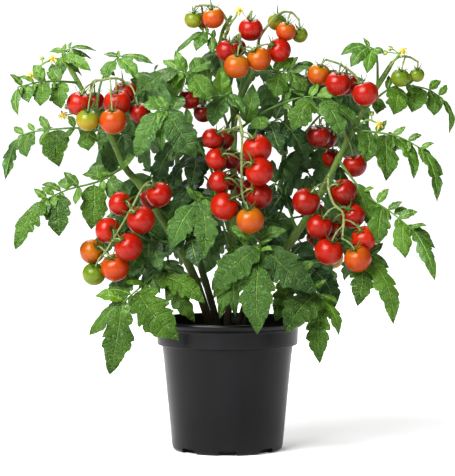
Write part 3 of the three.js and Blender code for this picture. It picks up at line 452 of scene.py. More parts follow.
def add_turned(shape, profile, sides, slot, mark, origin=(0, 0, 0), axis=UP, lobes=0.0, phase=0.0):
    """A closed body turned about an axis, from [radius, height] rows that start and end on it.
    Lobes swell it in four places, as a share of its radius."""
    profile = np.asarray(profile, float)
    normal = sideways(axis)
    side = np.cross(axis, normal)
    angles = np.arange(sides) * TURN / sides
    swell = 1 + lobes * np.cos(4 * angles + phase)
    ring = (np.cos(angles) * swell)[:, None] * normal + (np.sin(angles) * swell)[:, None] * side
    rings = [radius * ring + height * axis + origin for radius, height in profile[1:-1]]
    ends = [profile[:1, 1:] * axis + origin, profile[-1:, 1:] * axis + origin]
    add_rings(shape, rings, ends, np.linspace(0, 1, len(profile)), slot, mark)


# ---------------------------------------------------------------- leaves

TOP, UNDER, STALK = 0, 1, 2      # material slots of a leaf
LOBE_LENGTH = 12                 # along the midrib, from one lobe to the next
LOBE_TIP = 0.62                  # how far along a lobe its tip is
BLADE_THICKNESS = 0.5
SLIM = 0.42                      # leaflets with a smaller width to length have deeper lobes
TOOTH_CUT = 0.06                 # of the small teeth between the lobes
MOST_CUT = 0.75
VEIN_SLANT = 0.62                # how far a side vein runs ahead for each mm outwards
RIB_DEPTH = 0.35                 # of the groove over the midrib


def face_at(point):
    """The way a leaf's upper side looks: up and out, forwards in front, backwards behind."""
    return unit(np.array([point[0] * 0.0016, -0.75 if point[1] < DEPTH_MIDDLE else 0.75, 0.65]))


def leaflet(shape, base, tip, width, rng, tone_and_shade, columns=4, rows_per_lobe=8):
    """One leaflet: a lobed, puckered, drooping blade on its own short stalk."""
    length = np.linalg.norm(tip - base)
    ahead = (tip - base) / length
    face = face_at(base)
    normal = unit(face - ahead * face.dot(ahead))
    normal = turned(normal, ahead, rng.uniform(-0.3, 0.3))
    across = np.cross(normal, ahead)
    half = width / 2
    slim = width / length < SLIM

    # Down the midrib, u: the outline, and the place within a lobe.
    lobes = max(2, min(5, round(length / LOBE_LENGTH)))
    u = np.linspace(0, 1, lobes * rows_per_lobe + 1)
    u[0], u[-1] = 0.001, 0.997
    rise, fall = (0.5, 0.95) if slim else (0.42, 0.9)
    widest = rise / (rise + fall)
    outline = u**rise * (1 - u)**fall / (widest**rise * (1 - widest)**fall)
    part = (u * lobes) % 1
    lobe = np.where(part < LOBE_TIP, (LOBE_TIP - part) / LOBE_TIP,
                    (part - LOBE_TIP) / (1 - LOBE_TIP))
    depth = (0.5 if slim else 0.34) * (1 - u)**1.1 + 0.04
    teeth = TOOTH_CUT * np.abs(2 * ((u * lobes * 2.5) % 1) - 1)
    slant = VEIN_SLANT * smooth(u / 0.3) * (1 - u**2)
    bend = length * rng.uniform(-0.07, 0.07) * np.sin(math.pi * u)
    stalk = max(1.0, length * rng.uniform(0.03, 0.08))

    # Across it, s: each side is cut between its lobes, by its own amounts.
    s = np.linspace(-1, 1, 2 * columns + 1)
    s = np.sign(s) * np.abs(s)**0.85
    cut = np.zeros((len(u), len(s)))
    for side in (-1, 1):
        wild = np.repeat([rng.uniform(0.3, 1.4) for _ in range(lobes)], rows_per_lobe)
        wild = np.append(wild, wild[-1])
        share_lost = np.clip(depth * wild * lobe**1.8 + teeth, 0, MOST_CUT)
        mine = s * side > 0
        cut[:, mine] = share_lost[:, None] * s[mine]**2
    y = half * outline[:, None] * s * (1 - cut)
    x = stalk + (length - stalk) * u[:, None] + np.abs(y) * slant[:, None]

    # Off the flat: an arch along, a fold and a curl across, puckers between the side veins, a
    # ruffled edge, and a groove over the midrib.
    arch = rng.uniform(0.07, 0.14)
    curl = rng.uniform(0.2, 0.5)
    fold = rng.uniform(0.05, 0.5)
    wave = rng.uniform(0, 6.28)
    ruffle = rng.uniform(0.04, 0.09) * width
    pucker = 0.07 * width + 0.35
    out = np.abs(y) / half
    lift = length * arch * np.sin(math.pi * u**0.85)[:, None]
    lift = lift + half * (fold * out - curl * out**2)
    lift = lift + pucker * (lobe[:, None] - 0.5) * 4 * np.abs(s) * (1 - np.abs(s))
    lift = lift + ruffle * np.abs(s)**3 * np.sin(u[:, None] * lobes * 2.4 + wave + 2 * s)
    lift = lift - RIB_DEPTH * bell(y, 0, 1.2)

    thick = BLADE_THICKNESS / 2 * (1 - s**4)
    spot = (base + x[..., None] * ahead + (y + bend[:, None])[..., None] * across)
    top = spot + (lift + thick)[..., None] * normal
    under = spot + (lift - thick)[..., None] * normal
    places = np.stack(np.broadcast_arrays((u * lobes)[:, None], s, rng.random()), -1)
    add_blade(shape, top, under, places, (tone_and_shade, length / lobes, half), [TOP, UNDER])

    middle = spot[:, columns] + (lift[:, columns] - RIB_DEPTH)[:, None] * normal
    rib = np.vstack([base, base * 0.5 + middle[0] * 0.5, middle[0:-4:3]])
    radii = np.linspace(0.8, 0.25, len(rib)) * min(1, width / 18 + 0.3)
    add_tube(shape, rib, radii, 5, STALK, (tone_and_shade, 0, 0))


def compound_leaf(shape, points, leaflets, rng, tone_and_shade, spread=1.0):
    """A stalk with its leaflets, and small ones in pairs between them."""
    steps = np.linspace(0, 1, 6 * (len(points) - 1) + 1)
    radii = LEAF_STALK_ROOT + (0.6 - LEAF_STALK_ROOT) * steps + 0.7 * bell(steps, 0, 0.05)
    add_tube(shape, on_curve(points, steps), radii, 8, STALK, (tone_and_shade, 0, 0), ribs=0.06)
    for along, *tip, width in leaflets:
        base = on_curve(points, along)[0]
        leaflet(shape, base, np.array(tip, float), width, rng, tone_and_shade + rng.uniform(-0.2, 0.2))

    places = sorted({row[0] for row in leaflets})
    gaps = [(a + b) / 2 for a, b in zip([0.25, *places], places) if b - a > 0.07]
    mean = sum(row[-1] for row in leaflets) / len(leaflets)
    for place in gaps:
        base, beyond = on_curve(points, [place, min(1, place + 0.03)])
        ahead = unit(beyond - base)
        side = unit(np.cross(face_at(base), ahead))
        for hand in (-1, 1):
            size = rng.uniform(0.6, 1.05) * mean * spread
            away = (side * hand)[1] > 0
            rise = rng.uniform(0.1, 0.7) if away else rng.uniform(-0.8, -0.3)
            way = unit(side * hand * (0.35 if away else 0.7) + ahead * rng.uniform(0.3, 0.8)
                       + UP * rise)
            leaflet(shape, base, base + way * size, size * 0.5, rng, tone_and_shade + 0.1,
                    columns=2, rows_per_lobe=6)


def shoot_leaf(fork, angle, reach, rise, size):
    """The stalk and the leaflets of one leaf of a side shoot."""
    turn = math.radians(angle)
    out = np.array([math.cos(turn), math.sin(turn), 0])
    side = np.array([-math.sin(turn), math.cos(turn), 0])
    stalk = np.array([fork, fork + out * reach / 2 + UP * rise,
                      fork + out * reach + UP * rise * SHOOT_STALK_DROP])
    leaflets = []
    for row in SHOOT_LEAFLETS[:ONE_PAIR if size < TWO_PAIRS_FROM else None]:
        share, ahead, beside, above, width = row
        along = place_at(stalk, share)
        tip = on_curve(stalk, along)[0] + (out * ahead + side * beside + UP * above) * size
        leaflets.append([along, *tip, width * size])
    return stalk, leaflets


def shoot_shape(name):
    """A side shoot: a short stalk that forks into its leaves."""
    stem, place, angle, *leaves = SHOOTS[name]
    rng = random.Random(name)
    shape = Shape()
    turn = math.radians(angle)
    start = joint(stem, place)
    fork = start + np.array([FORK_REACH * math.cos(turn), FORK_REACH * math.sin(turn), FORK_RISE])
    path = np.linspace(start, start + (fork - start) * 1.05, 4)
    # Painted shade: the shoot's leaves start dark, like shaded inner leaves, and are painted
    # brighter towards the rear outside of the plant.
    tone_and_shade = rng.uniform(-0.9, -0.5)
    add_tube(shape, path, [SHOOT_ROOT + 0.8, SHOOT_ROOT, SHOOT_ROOT, 1.8], 8, STALK, (tone_and_shade, 0, 0))
    for row in leaves:
        stalk, leaflets = shoot_leaf(fork, *row)
        outside = smooth((stalk[-1][1] - INSIDE) / (OUTSIDE - INSIDE))
        compound_leaf(shape, stalk, leaflets, rng, tone_and_shade + 1.1 * outside, spread=1.25)
    return shape


def leaf_shape(name):
    stem, place, tone_and_shade, path, *leaflets = LEAVES[name]
    shape = Shape()
    compound_leaf(shape, stalk_points(stem, place, path), leaflets, random.Random(name), tone_and_shade)
    return shape


# ---------------------------------------------------------------- trusses

SKIN, GREEN, CALYX = 0, 1, 2     # material slots of a truss
FRUIT_SIDES, FRUIT_RINGS = 28, 17
CROWN_DROP = 0.15                # of the calyx into the dimple, in radii of the fruit
BUTTON = [[0, -0.6], [1.5, -0.5], [1.9, 0.1], [1.3, 0.8], [0, 1.0]]
SEPAL_TAPER = np.array([0.7, 1, 0.95, 0.8, 0.6, 0.38, 0.08])


def sepal(shape, root, out, axis, length, width, rng, slot):
    """One narrow green sepal, that springs from the root and curls back."""
    rise = rng.uniform(0.25, 1.0)
    swing = np.cross(axis, out) * rng.uniform(-0.25, 0.25) * length
    line = bent_line(root, out * length * 1.1 + axis * 0.1 * length,
                     root + out * length * 0.82 + axis * rise * length + swing,
                     (out * 0.4 + axis * (0.4 + rise)) * length, 7)
    across = np.array([-1, 0, 1])
    hill = 1 - np.abs(across)
    add_ribbon(shape, line, width / 2 * SEPAL_TAPER, across, -0.25 * hill, 0.22 * hill, axis, rng,
               slot)


def fruit(shape, centre, diameter, node, ripe, rng):
    """A tomato with its calyx and its knuckled pedicel."""
    radius = diameter / 2
    front = np.array([0, -1 if centre[1] < DEPTH_MIDDLE else 1, 0])
    lean = unit(unit((node - centre) * [1, 0.3, 1]) * 0.7 + UP * 0.55 + front * 0.6)
    angle = np.linspace(0, math.pi, FRUIT_RINGS)
    dimple = 0.2 * bell(angle, 0, 0.36)
    heel = 0.05 * bell(angle, math.pi, 0.3)
    heights = radius * (FRUIT_SQUASH * np.cos(angle) - dimple + heel)
    profile = np.stack([radius * np.sin(angle)**0.96, heights], -1)[::-1]
    add_turned(shape, profile, FRUIT_SIDES, SKIN, (ripe, rng.random(), radius), centre, lean,
               lobes=rng.uniform(0.0, 0.016), phase=rng.uniform(0, 6))

    crown = centre + lean * radius * (FRUIT_SQUASH - CROWN_DROP)
    add_turned(shape, BUTTON, 8, CALYX, (0.5, 0, 0), crown, lean)
    first, count = rng.uniform(0, 6.28), 5 if rng.random() < 0.6 else 6
    spoke = sideways(lean)
    for k in range(count):
        out = turned(spoke, lean, first + k * TURN / count + rng.uniform(-0.15, 0.15))
        sepal(shape, crown + lean * 0.5, out, lean, radius * rng.uniform(0.75, 1.1),
              1.2 + 0.025 * diameter, rng, CALYX)

    span = np.linalg.norm(crown - node)
    line = bent_line(node, unit(unit(crown - node) + UP * 0.5) * span * 0.9, crown + lean * 0.6,
                     -lean * span * 0.9, 13)
    t = np.linspace(0, 1, 13)
    radii = 0.8 + 0.5 * bell(t, 0.5, 0.07) + 0.35 * bell(t, 0, 0.08) + 0.25 * bell(t, 1, 0.1)
    add_tube(shape, line, radii, 8, GREEN, (rng.random(), 0, 0))


def truss_shape(name):
    *start, path = TRUSSES[name][:3]
    fruits = TRUSSES[name][3:]
    rng = random.Random(name)
    shape = Shape()
    points = stalk_points(*start, path)
    steps = np.linspace(0, 1, 10 * (len(points) - 1) + 1)
    radii = 1.55 - 0.6 * steps
    for *_, along, _ in fruits:
        radii = radii + 0.45 * bell(steps, along, 0.02)
    add_tube(shape, on_curve(points, steps), radii, 10, GREEN, (rng.random(), 0, 0), ribs=0.05)
    for *centre, diameter, along, ripe in fruits:
        fruit(shape, np.array(centre, float), diameter, on_curve(points, along)[0], ripe, rng)
    return shape


# ---------------------------------------------------------------- flowers

PETAL, BLOOM_GREEN, CONE = 0, 1, 2   # material slots of a spray
PETAL_COUNT = 5
PETAL_LENGTH = 7
BUD_RADIUS = 2.4
PETAL_TAPER = np.array([0.45, 0.85, 1.1, 1.15, 1.0, 0.75, 0.45, 0.08])
PLAIN = (0.5, 0, 0)                  # the mark of a part with no tone of its own
SPRAY_FORK = 0.8                     # where its flowers and buds leave the stalk

# Turned about the flower's axis, as [radius, height]: in mm, and in bud radii.
CONE_OUTLINE = [[0, -0.4], [0.9, -0.2], [1.45, 0.4], [1.3, 1.8], [0.8, 3.6], [0.35, 4.9], [0, 5.2]]
BUD_OUTLINE = np.array([[0, -0.9], [0.6, -0.8], [1, -0.3], [0.95, 0.3], [0.6, 0.95], [0.2, 1.45],
                        [0, 1.6]]) * BUD_RADIUS * 0.85


def petal(shape, centre, out, axis, rng):
    """One pointed petal that bends back at its tip."""
    line = bent_line(centre, (out + axis * 0.35) * PETAL_LENGTH,
                     centre + (out * 0.85 - axis * rng.uniform(0.3, 0.8)) * PETAL_LENGTH,
                     (out * 0.6 - axis * 0.9) * PETAL_LENGTH, 8)
    across = np.linspace(-1, 1, 5)
    add_ribbon(shape, line, PETAL_TAPER, across, 0.3 * across**2, 0.2 * (1 - across**2), axis, rng,
               PETAL, facing=axis)


def spray_shape(name):
    """A stalk with its open flowers and its buds."""
    stem, place, path, flowers, buds = SPRAYS[name]
    rng = random.Random(name)
    shape = Shape()
    points = stalk_points(stem, place, path)
    steps = np.linspace(0, 1, 8 * (len(points) - 1) + 1)
    add_tube(shape, on_curve(points, steps), 1.25 - 0.35 * steps, 8, BLOOM_GREEN, PLAIN)
    fork = on_curve(points, SPRAY_FORK)[0]
    facing = unit(np.array([0, -1, 0.3]))
    for place in flowers:
        centre = np.array(place, float)
        span = np.linalg.norm(centre - fork)
        line = bent_line(fork, unit(centre - fork + UP * 4) * span, centre - facing * 0.8,
                         facing * span * 0.8, 8)
        add_tube(shape, line, 0.7, 6, BLOOM_GREEN, PLAIN)
        spoke = sideways(facing)
        for k in range(PETAL_COUNT):
            angle = k * TURN / PETAL_COUNT
            petal(shape, centre, turned(spoke, facing, angle), facing, rng)
            sepal(shape, centre - facing * 0.7, turned(spoke, facing, angle + 0.63), -facing,
                  PETAL_LENGTH * 0.8, 1.5, rng, BLOOM_GREEN)
        add_turned(shape, CONE_OUTLINE, 10, CONE, PLAIN, centre, facing, lobes=0.08)
    for place in buds:
        centre = np.array(place, float)
        axis = unit(unit(centre - fork) + np.array([0, -0.4, -0.5]))
        line = bent_line(fork, unit(centre - fork + UP * 4) * 8, centre, axis * 6, 7)
        add_tube(shape, line, 0.7, 6, BLOOM_GREEN, PLAIN)
        add_turned(shape, BUD_OUTLINE, 10, PETAL, (0.2, 0, 0), centre, axis)
        spoke = sideways(axis)
        root = centre - axis * BUD_RADIUS * 0.75
        for k in range(PETAL_COUNT):
            out = turned(spoke, axis, k * TURN / PETAL_COUNT)
            line = [root + out * wide + axis * high
                    for wide, high in ((0, 0), (2.1, 1.4), (2.2, 3.2), (1.5, 5.0))]
            add_tube(shape, on_curve(line, np.linspace(0, 1, 6)), [0.7, 0.75, 0.65, 0.5, 0.3, 0.1],
                     5, BLOOM_GREEN, PLAIN)
    return shape


# ---------------------------------------------------------------- stems


def stem_shape(name):
    """A stem with a knuckle at every joint."""
    root, tip = STEMS[name][2]
    rng = random.Random(name)
    points = stem_points(name)
    steps = np.linspace(0, 1, 14 * (len(points) - 1) + 1)
    radii = root + (tip - root) * steps
    for group in (TRUSSES, LEAVES, SHOOTS, SPRAYS):
        for stem, place, *_ in group.values():
            if stem == name:
                radii = radii + 0.5 * bell(steps, place, 0.012)
    radii = radii * (1 + 0.03 * np.sin(steps * 90 + rng.uniform(0, 6)))
    shape = Shape()
    add_tube(shape, on_curve(points, steps), radii, 16, 0, (rng.random(), 0, 0), ribs=0.07)
    return shape


# ---------------------------------------------------------------- pot and soil


def arc(centre, radius, start, end, count):
    """[radius, height] rows round a corner, angles in degrees from outwards."""
    angles = np.radians(np.linspace(start, end, count))
    return [[centre[0] + radius * math.cos(a), centre[1] + radius * math.sin(a)] for a in angles]


def pot_shape():
    outside = [
        [0, 0.9], [38, 0.9], [40, 0.2], [42, 0],
        *arc((BASE_RADIUS - BASE_CORNER, BASE_CORNER), BASE_CORNER, -90, -6, 7),
        [BASE_RADIUS + 0.6, 10], [58.5, 36], [61.5, 66], [64.3, 94],
        [SHOULDER_RADIUS, COLLAR_BOTTOM - 2.6],
        *arc((SHOULDER_RADIUS + 1.2, COLLAR_BOTTOM - 1.4), 1.0, 180, 100, 3),
        *arc((COLLAR_RADIUS - 1.2, COLLAR_BOTTOM + 1.0), 1.2, -80, 0, 5),
        [COLLAR_RADIUS + 0.1, 112], [COLLAR_RADIUS + 0.4, COLLAR_TOP - 2.5],
        *arc((COLLAR_RADIUS + 1.8, COLLAR_TOP - 1.4), 1.4, 180, 110, 3),
        [LIP_RADIUS - 4.0, COLLAR_TOP + 1.2], [LIP_RADIUS - 2.6, COLLAR_TOP + 2.2],
        *arc((LIP_RADIUS - 2.4, POT_HEIGHT - 2.4), 2.4, -30, 150, 10),
        [LIP_RADIUS - 6.2, POT_HEIGHT - 3.6], [COLLAR_RADIUS - WALL + 0.6, COLLAR_TOP],
    ]
    inside = [
        [COLLAR_RADIUS - WALL, COLLAR_TOP - 2], [COLLAR_RADIUS - WALL, COLLAR_BOTTOM + WALL + 1],
        [SHOULDER_RADIUS - WALL + 0.4, COLLAR_BOTTOM - WALL + 0.5],
        [SHOULDER_RADIUS - WALL, COLLAR_BOTTOM - WALL - 2],
        [BASE_RADIUS - WALL, FLOOR + 2], [BASE_RADIUS - WALL - 2, FLOOR], [0, FLOOR],
    ]
    shape = Shape()
    add_turned(shape, outside + inside, 144, 0, (0, 0, 0))
    return shape


def notch_cutter():
    """Blocks through the bottom corner, wider at the bottom, one for each drain notch."""
    low, high = NOTCH_WIDTH / 2, NOTCH_TOP_WIDTH / 2
    section = [[-low, -2], [low, -2], [high + 0.6, NOTCH_HEIGHT - 1], [high - 0.6, NOTCH_HEIGHT],
               [-high + 0.6, NOTCH_HEIGHT], [-high - 0.6, NOTCH_HEIGHT - 1]]
    count = len(section)
    points, faces = [], []
    for k in range(NOTCH_COUNT):
        turn = k * TURN / NOTCH_COUNT
        start = len(points)
        for radius in (BASE_RADIUS - NOTCH_DEPTH, BASE_RADIUS + 3):
            for across, height in section:
                points.append([across * math.cos(turn) + radius * math.sin(turn),
                               across * math.sin(turn) - radius * math.cos(turn), height])
        near = list(range(start, start + count))
        far = list(range(start + count, start + 2 * count))
        faces += [near[::-1], far]
        faces += [[near[i], near[i - count + 1], far[i - count + 1], far[i]]
                  for i in range(count)]
    mesh = bpy.data.meshes.new("notches")
    mesh.from_pydata([[c * MM for c in p] for p in points], [], faces)
    return mesh


SOIL_GAP = 0.3                   # to the pot's inside
CRUMB_COUNT = 620
CRUMB_SIZES = [0.7, 0.9, 1.1, 1.5, 2.2]
CRUMB_CORNERS = np.array([[x, 0, z] for z in (1.6, -1.6) for x in (-1, 1)]
                         + [[0, y, z] for y in (1.6, -1.6) for z in (1, -1)]
                         + [[x, y, 0] for y in (1, -1) for x in (1.6, -1.6)]) / 1.9
CRUMB_FACES = np.array([[0, 1, 4], [0, 4, 9], [9, 4, 5], [4, 8, 5], [4, 1, 8], [8, 1, 10],
                        [8, 10, 3], [5, 8, 3], [5, 3, 2], [2, 3, 7], [7, 3, 10], [7, 10, 6],
                        [7, 6, 11], [11, 6, 0], [0, 6, 1], [6, 10, 1], [9, 11, 0], [9, 2, 11],
                        [9, 5, 2], [7, 11, 2]])


def crumb(shape, centre, size, rng):
    """One irregular lump of soil."""
    squash = [rng.uniform(0.6, 1.2) for _ in range(3)]
    turn = Matrix.Rotation(rng.uniform(0, 6.28), 3, Vector([rng.gauss(0, 1) for _ in range(3)]))
    rough = np.array([[rng.uniform(0.7, 1.2)] for _ in CRUMB_CORNERS])
    points = (CRUMB_CORNERS * rough * squash) @ np.array(turn) * size + centre
    shape.add(points, points * 0.1, (rng.random(), 1, 0), [CRUMB_FACES], [0])


def soil_shape():
    """The soil's body inside the pot, with a crumbled crown and loose lumps on it."""
    rng = random.Random("soil")
    rim = COLLAR_RADIUS - WALL - SOIL_GAP

    def crown_height(share):
        return SOIL_CROWN + (SOIL_EDGE - SOIL_CROWN) * share**1.6 - 1.0

    shape = Shape()
    crown = [[rim * share, crown_height(share)] for share in np.linspace(0, 1, 26)]
    body = [[rim, COLLAR_BOTTOM + WALL + 1],
            [SHOULDER_RADIUS - WALL - SOIL_GAP, COLLAR_BOTTOM - WALL],
            [BASE_RADIUS - WALL - SOIL_GAP, FLOOR + 3],
            [BASE_RADIUS - WALL - 3, FLOOR + SOIL_GAP], [0, FLOOR + SOIL_GAP]]
    add_turned(shape, (crown + body)[::-1], 96, 0, (0.5, 0, 0))
    for point in shape.points[0]:
        radius = math.hypot(point[0], point[1])
        if point[2] > SOIL_EDGE - 2 and radius < rim - 1:
            place = Vector(point)
            rough = noise.noise(place * 0.11) * 1.6 + noise.noise(place * 0.35) * 1.1
            point[2] += rough * min(1, (rim - radius) / 4)
    for _ in range(CRUMB_COUNT):
        radius, turn = rim * math.sqrt(rng.uniform(0, 0.96)), rng.uniform(0, 6.28)
        size = rng.choice(CRUMB_SIZES)
        height = crown_height(radius / rim) + rng.uniform(-0.4, 0.6)
        crumb(shape, [radius * math.cos(turn), radius * math.sin(turn), height], size, rng)
    return shape


# ---------------------------------------------------------------- materials


def colour(red, green, blue):
    """A screen colour from 0 to 255 as the shader's linear one."""
    values = [c / 255 for c in (red, green, blue)]
    return tuple(c / 12.92 if c < 0.04045 else ((c + 0.055) / 1.055)**2.4 for c in values) + (1,)


class Wire:
    """One output of a material's node. Sums with it make math nodes."""

    def __init__(self, paint, socket):
        self.paint, self.socket = paint, socket

    def __add__(self, other):
        return self.paint.math("ADD", self, other)

    def __sub__(self, other):
        return self.paint.math("SUBTRACT", self, other)

    def __rsub__(self, other):
        return self.paint.math("SUBTRACT", other, self)

    def __mul__(self, other):
        return self.paint.math("MULTIPLY", self, other)

    def __abs__(self):
        return self.paint.math("ABSOLUTE", self)

    def eased(self, low, high, start=0.0, end=1.0):
        """The value's place from low to high, eased, as start to end."""
        return self.paint.node("MapRange", {0: self, 1: low, 2: high, 3: start, 4: end},
                               interpolation_type="SMOOTHSTEP")

    def tinted(self, share, shade):
        """The colour with a share of a screen colour mixed in."""
        return self.paint.mix(share, self, colour(*shade))


class Paint:
    """A short way to write a material's nodes. Each call gives the wire of a node's output."""

    def __init__(self, name):
        self.material = bpy.data.materials.new(name)
        self.material.use_nodes = True
        self.tree = self.material.node_tree
        self.tree.nodes.clear()

    def node(self, kind, inputs, output=0, **settings):
        made = self.tree.nodes.new("ShaderNode" + kind)
        for key, value in settings.items():
            setattr(made, key, value)
        for key, value in inputs.items():
            if isinstance(value, Wire):
                self.tree.links.new(value.socket, made.inputs[key])
            else:
                made.inputs[key].default_value = value
        return Wire(self, made.outputs[output])

    def math(self, operation, *values):
        return self.node("Math", dict(enumerate(values)), operation=operation)

    def mix(self, share, first, second):
        return self.node("Mix", {0: share, 6: first, 7: second}, 2, data_type="RGBA")

    def ramp(self, value, stops):
        made = self.node("ValToRGB", {0: value})
        band = made.socket.node.color_ramp
        while len(band.elements) < len(stops):
            band.elements.new(0.5)
        for element, (place, *shade) in zip(band.elements, stops):
            element.position, element.color = place, colour(*shade)
        return made

    def parts(self, vector):
        first = self.node("SeparateXYZ", {0: vector})
        return [Wire(self, socket) for socket in first.socket.node.outputs]

    def split(self, name):
        """The three numbers of an attribute of the mesh."""
        return self.parts(self.node("Attribute", {}, "Vector", attribute_name=name))

    def join(self, *values):
        return self.node("CombineXYZ", dict(enumerate(values)))

    def place(self):
        return self.node("TexCoord", {}, "Object")

    def height(self):
        return self.parts(self.place())[2]

    def noise(self, scale, detail=3.0, vector=None, rough=0.5):
        return self.node("TexNoise", {"Vector": vector or self.place(), "Scale": scale,
                                      "Detail": detail, "Roughness": rough}, "Fac")

    def streaks(self, down, cos, sin, stretch, spread, scale):
        """Noise drawn out lengthwise over a tube or a turned body."""
        return self.noise(scale, 3.0, self.join(down * stretch, cos * spread, sin * spread))

    def cells(self, scale, vector=None, feature="F1"):
        return self.node("TexVoronoi", {"Vector": vector or self.place(), "Scale": scale},
                         "Distance", feature=feature)

    def bump(self, height, distance, strength=1.0):
        return self.node("Bump", {"Height": height, "Distance": distance, "Strength": strength})

    def surface(self, **inputs):
        names = {key: key.replace("_", " ").title().replace("Ior", "IOR") for key in inputs}
        return self.node("BsdfPrincipled", {names[key]: value for key, value in inputs.items()})

    def lit_through(self, skin, share, **inputs):
        """The skin with some of the light that comes through from behind."""
        glow = self.node("BsdfTranslucent", inputs)
        return self.node("MixShader", {0: share, 1: skin, 2: glow})

    def coat(self, **inputs):
        """The material, with one plain surface."""
        return self.finish(self.surface(**inputs))

    def finish(self, shader):
        target = self.tree.nodes.new("ShaderNodeOutputMaterial")
        self.tree.links.new(shader.socket, target.inputs["Surface"])
        return self.material


def leaf_paint(name, dark, cool, warm, vein, through, relief):
    """A leaf's skin: side veins, midrib and a fine net of veins, over mottled green. Light and
    shade
    are painted into it: the leaf's light-and-shade number takes it from dark painted shade through
    a cool, bluish painted sheen to a warm, lit green, and the hollows of the vein net get painted
    shade. Small leaflets are smoother and a little darker."""
    paint = Paint(name)
    row, across, chance = paint.split("place")
    tone_and_shade, lobe_length, half = paint.split("mark")
    off_vein = abs(paint.math("FRACT", row) - 0.5) * lobe_length
    side_vein = off_vein.eased(0.1, 0.9, 1.0, 0.0) * abs(across).eased(0.35, 1.0, 1.0, 0.15)
    rib = (abs(across) * half).eased(0.25, 1.0, 1.0, 0.0)
    veins = paint.math("MAXIMUM", side_vein, rib)

    flat = paint.join(row * lobe_length, across * half, chance * 90.0)
    net = paint.cells(0.42, flat, "DISTANCE_TO_EDGE").eased(0.0, 0.5)
    hollow = 1.0 - net * off_vein.eased(0.0, 2.4, 0.35, 1.0)
    crisp = half.eased(8.0, 18.0, 0.15, 1.0)
    patches = paint.noise(38.0, 4.0)
    # Painted shade and sheen: a low light-and-shade number darkens the green and cools it to a
    # bluish painted sheen, a high one gives the warm, brightly lit green.
    shade = tone_and_shade.eased(-1.2, -0.1, -0.9, 0.0) + patches + chance * 0.5
    light = paint.mix(tone_and_shade.eased(-0.5, 0.7), colour(*cool), colour(*warm))
    green = paint.mix(shade.eased(-0.1, 1.3), colour(*dark), light)
    # Painted shade in the hollows of the vein net, mostly on the larger leaflets; small leaflets
    # are tinted a little darker all over.
    green = green.tinted(hollow * crisp * 0.42 + crisp.eased(0.15, 1.0, 0.26, 0.06), dark)
    green = green.tinted(side_vein * 0.16, vein).tinted(rib * 0.5, vein)

    sunk = hollow * (0.85 * relief) + veins * relief
    normal = paint.bump(paint.noise(900.0, 2.0) * 0.1 - sunk * crisp, 0.0016)
    skin = paint.surface(base_color=green, roughness=patches.eased(0.2, 0.8, 0.38, 0.54),
                         normal=normal, specular_ior_level=0.62, sheen_weight=0.06,
                         sheen_roughness=0.4, sheen_tint=colour(205, 225, 190))
    return paint.finish(paint.lit_through(skin, 0.22, Color=green.tinted(0.55, through),
                                          Normal=normal))


def stalk_paint(name, dark, light, scale=60.0, sheen=0.35, low=None):
    """A downy green stalk, with fine lengthwise streaks. Low is a darker colour near the soil."""
    paint = Paint(name)
    streaks = paint.streaks(*paint.split("place"), 0.12, 2.2, 3.0)
    patches = paint.noise(scale)
    green = paint.mix((streaks + patches * 0.6).eased(0.5, 1.1), colour(*dark), colour(*light))
    if low:
        green = green.tinted((paint.height() - patches * 0.05).eased(0.1, 0.215, 1.0, 0.0), low)
    down = streaks * 0.8 + paint.cells(1600.0) * 0.35
    return paint.coat(
        base_color=green, roughness=0.5, normal=paint.bump(down, 0.0005, 0.7),
        specular_ior_level=0.35, sheen_weight=sheen, sheen_roughness=0.35,
        sheen_tint=colour(225, 235, 200))


def fruit_paint():
    """Glossy tomato skin from green to deep red, greener at the shoulder while it ripens."""
    paint = Paint("fruit_skin")
    down, cos, sin = paint.split("place")
    ripe = paint.split("mark")[0]
    shoulder = down.eased(0.45, 1.0, -0.06, 0.22)
    here = ripe - shoulder * ripe.eased(0.3, 0.95, 1.0, 0.12)
    skin = paint.ramp(here + (paint.noise(45.0) - 0.5) * 0.12, [
        (0.0, 76, 106, 18), (0.16, 108, 122, 28), (0.32, 144, 118, 22), (0.5, 150, 94, 10),
        (0.66, 150, 60, 6), (0.8, 158, 26, 4), (0.92, 136, 10, 2), (1.0, 92, 3, 3)])
    stripes = paint.streaks(down, cos, sin, 0.5, 1.4, 5.0)
    skin = skin.tinted(stripes.eased(0.35, 0.75, 0.0, 0.08), (226, 110, 30))
    skin = skin.tinted(paint.cells(900.0).eased(0.0, 0.2, 0.08, 0.0), (250, 190, 120))
    height = paint.noise(260.0, 2.0) + stripes * 0.6
    return paint.coat(
        base_color=skin, roughness=paint.noise(120.0, 2.0).eased(0.3, 0.7, 0.28, 0.38),
        normal=paint.bump(height, 0.00025, 0.5), specular_ior_level=0.26, coat_weight=0.1,
        coat_roughness=0.16)


def pot_paint():
    """Satin charcoal plastic, with a faint grain, soft streaks and soft paler clouds low down."""
    paint = Paint("pot_plastic")
    tall = paint.node("Mapping", {0: paint.place(), 3: (1.0, 1.0, 0.12)})
    streaks = paint.noise(60.0, 4.0, tall)
    cloud = paint.noise(22.0, 4.0)
    base = paint.mix(streaks.eased(0.3, 0.7), colour(8, 8, 10), colour(14, 14, 17))
    base = base.tinted(paint.height().eased(0.0, 0.03, 0.35, 0.0) * cloud, (40, 40, 40))
    relief = paint.noise(1500.0, 2.0) * 0.35 + streaks * 0.4
    return paint.coat(
        base_color=base, roughness=(cloud + streaks * 0.4).eased(0.4, 1.0, 0.27, 0.38),
        normal=paint.bump(relief, 0.0003, 0.5), specular_ior_level=0.26)


def soil_paint():
    """Dark crumbly compost with a few paler fibres."""
    paint = Paint("soil_compost")
    grain = paint.noise(420.0, 6.0, rough=0.7)
    earth = paint.ramp(grain * 0.8 + paint.split("mark")[0] * 0.35, [
        (0.25, 20, 13, 9), (0.55, 48, 33, 23), (0.8, 82, 60, 42), (1.0, 118, 90, 62)])
    return paint.coat(
        base_color=earth, roughness=0.95, specular_ior_level=0.2,
        normal=paint.bump(grain + paint.cells(330.0), 0.0015))


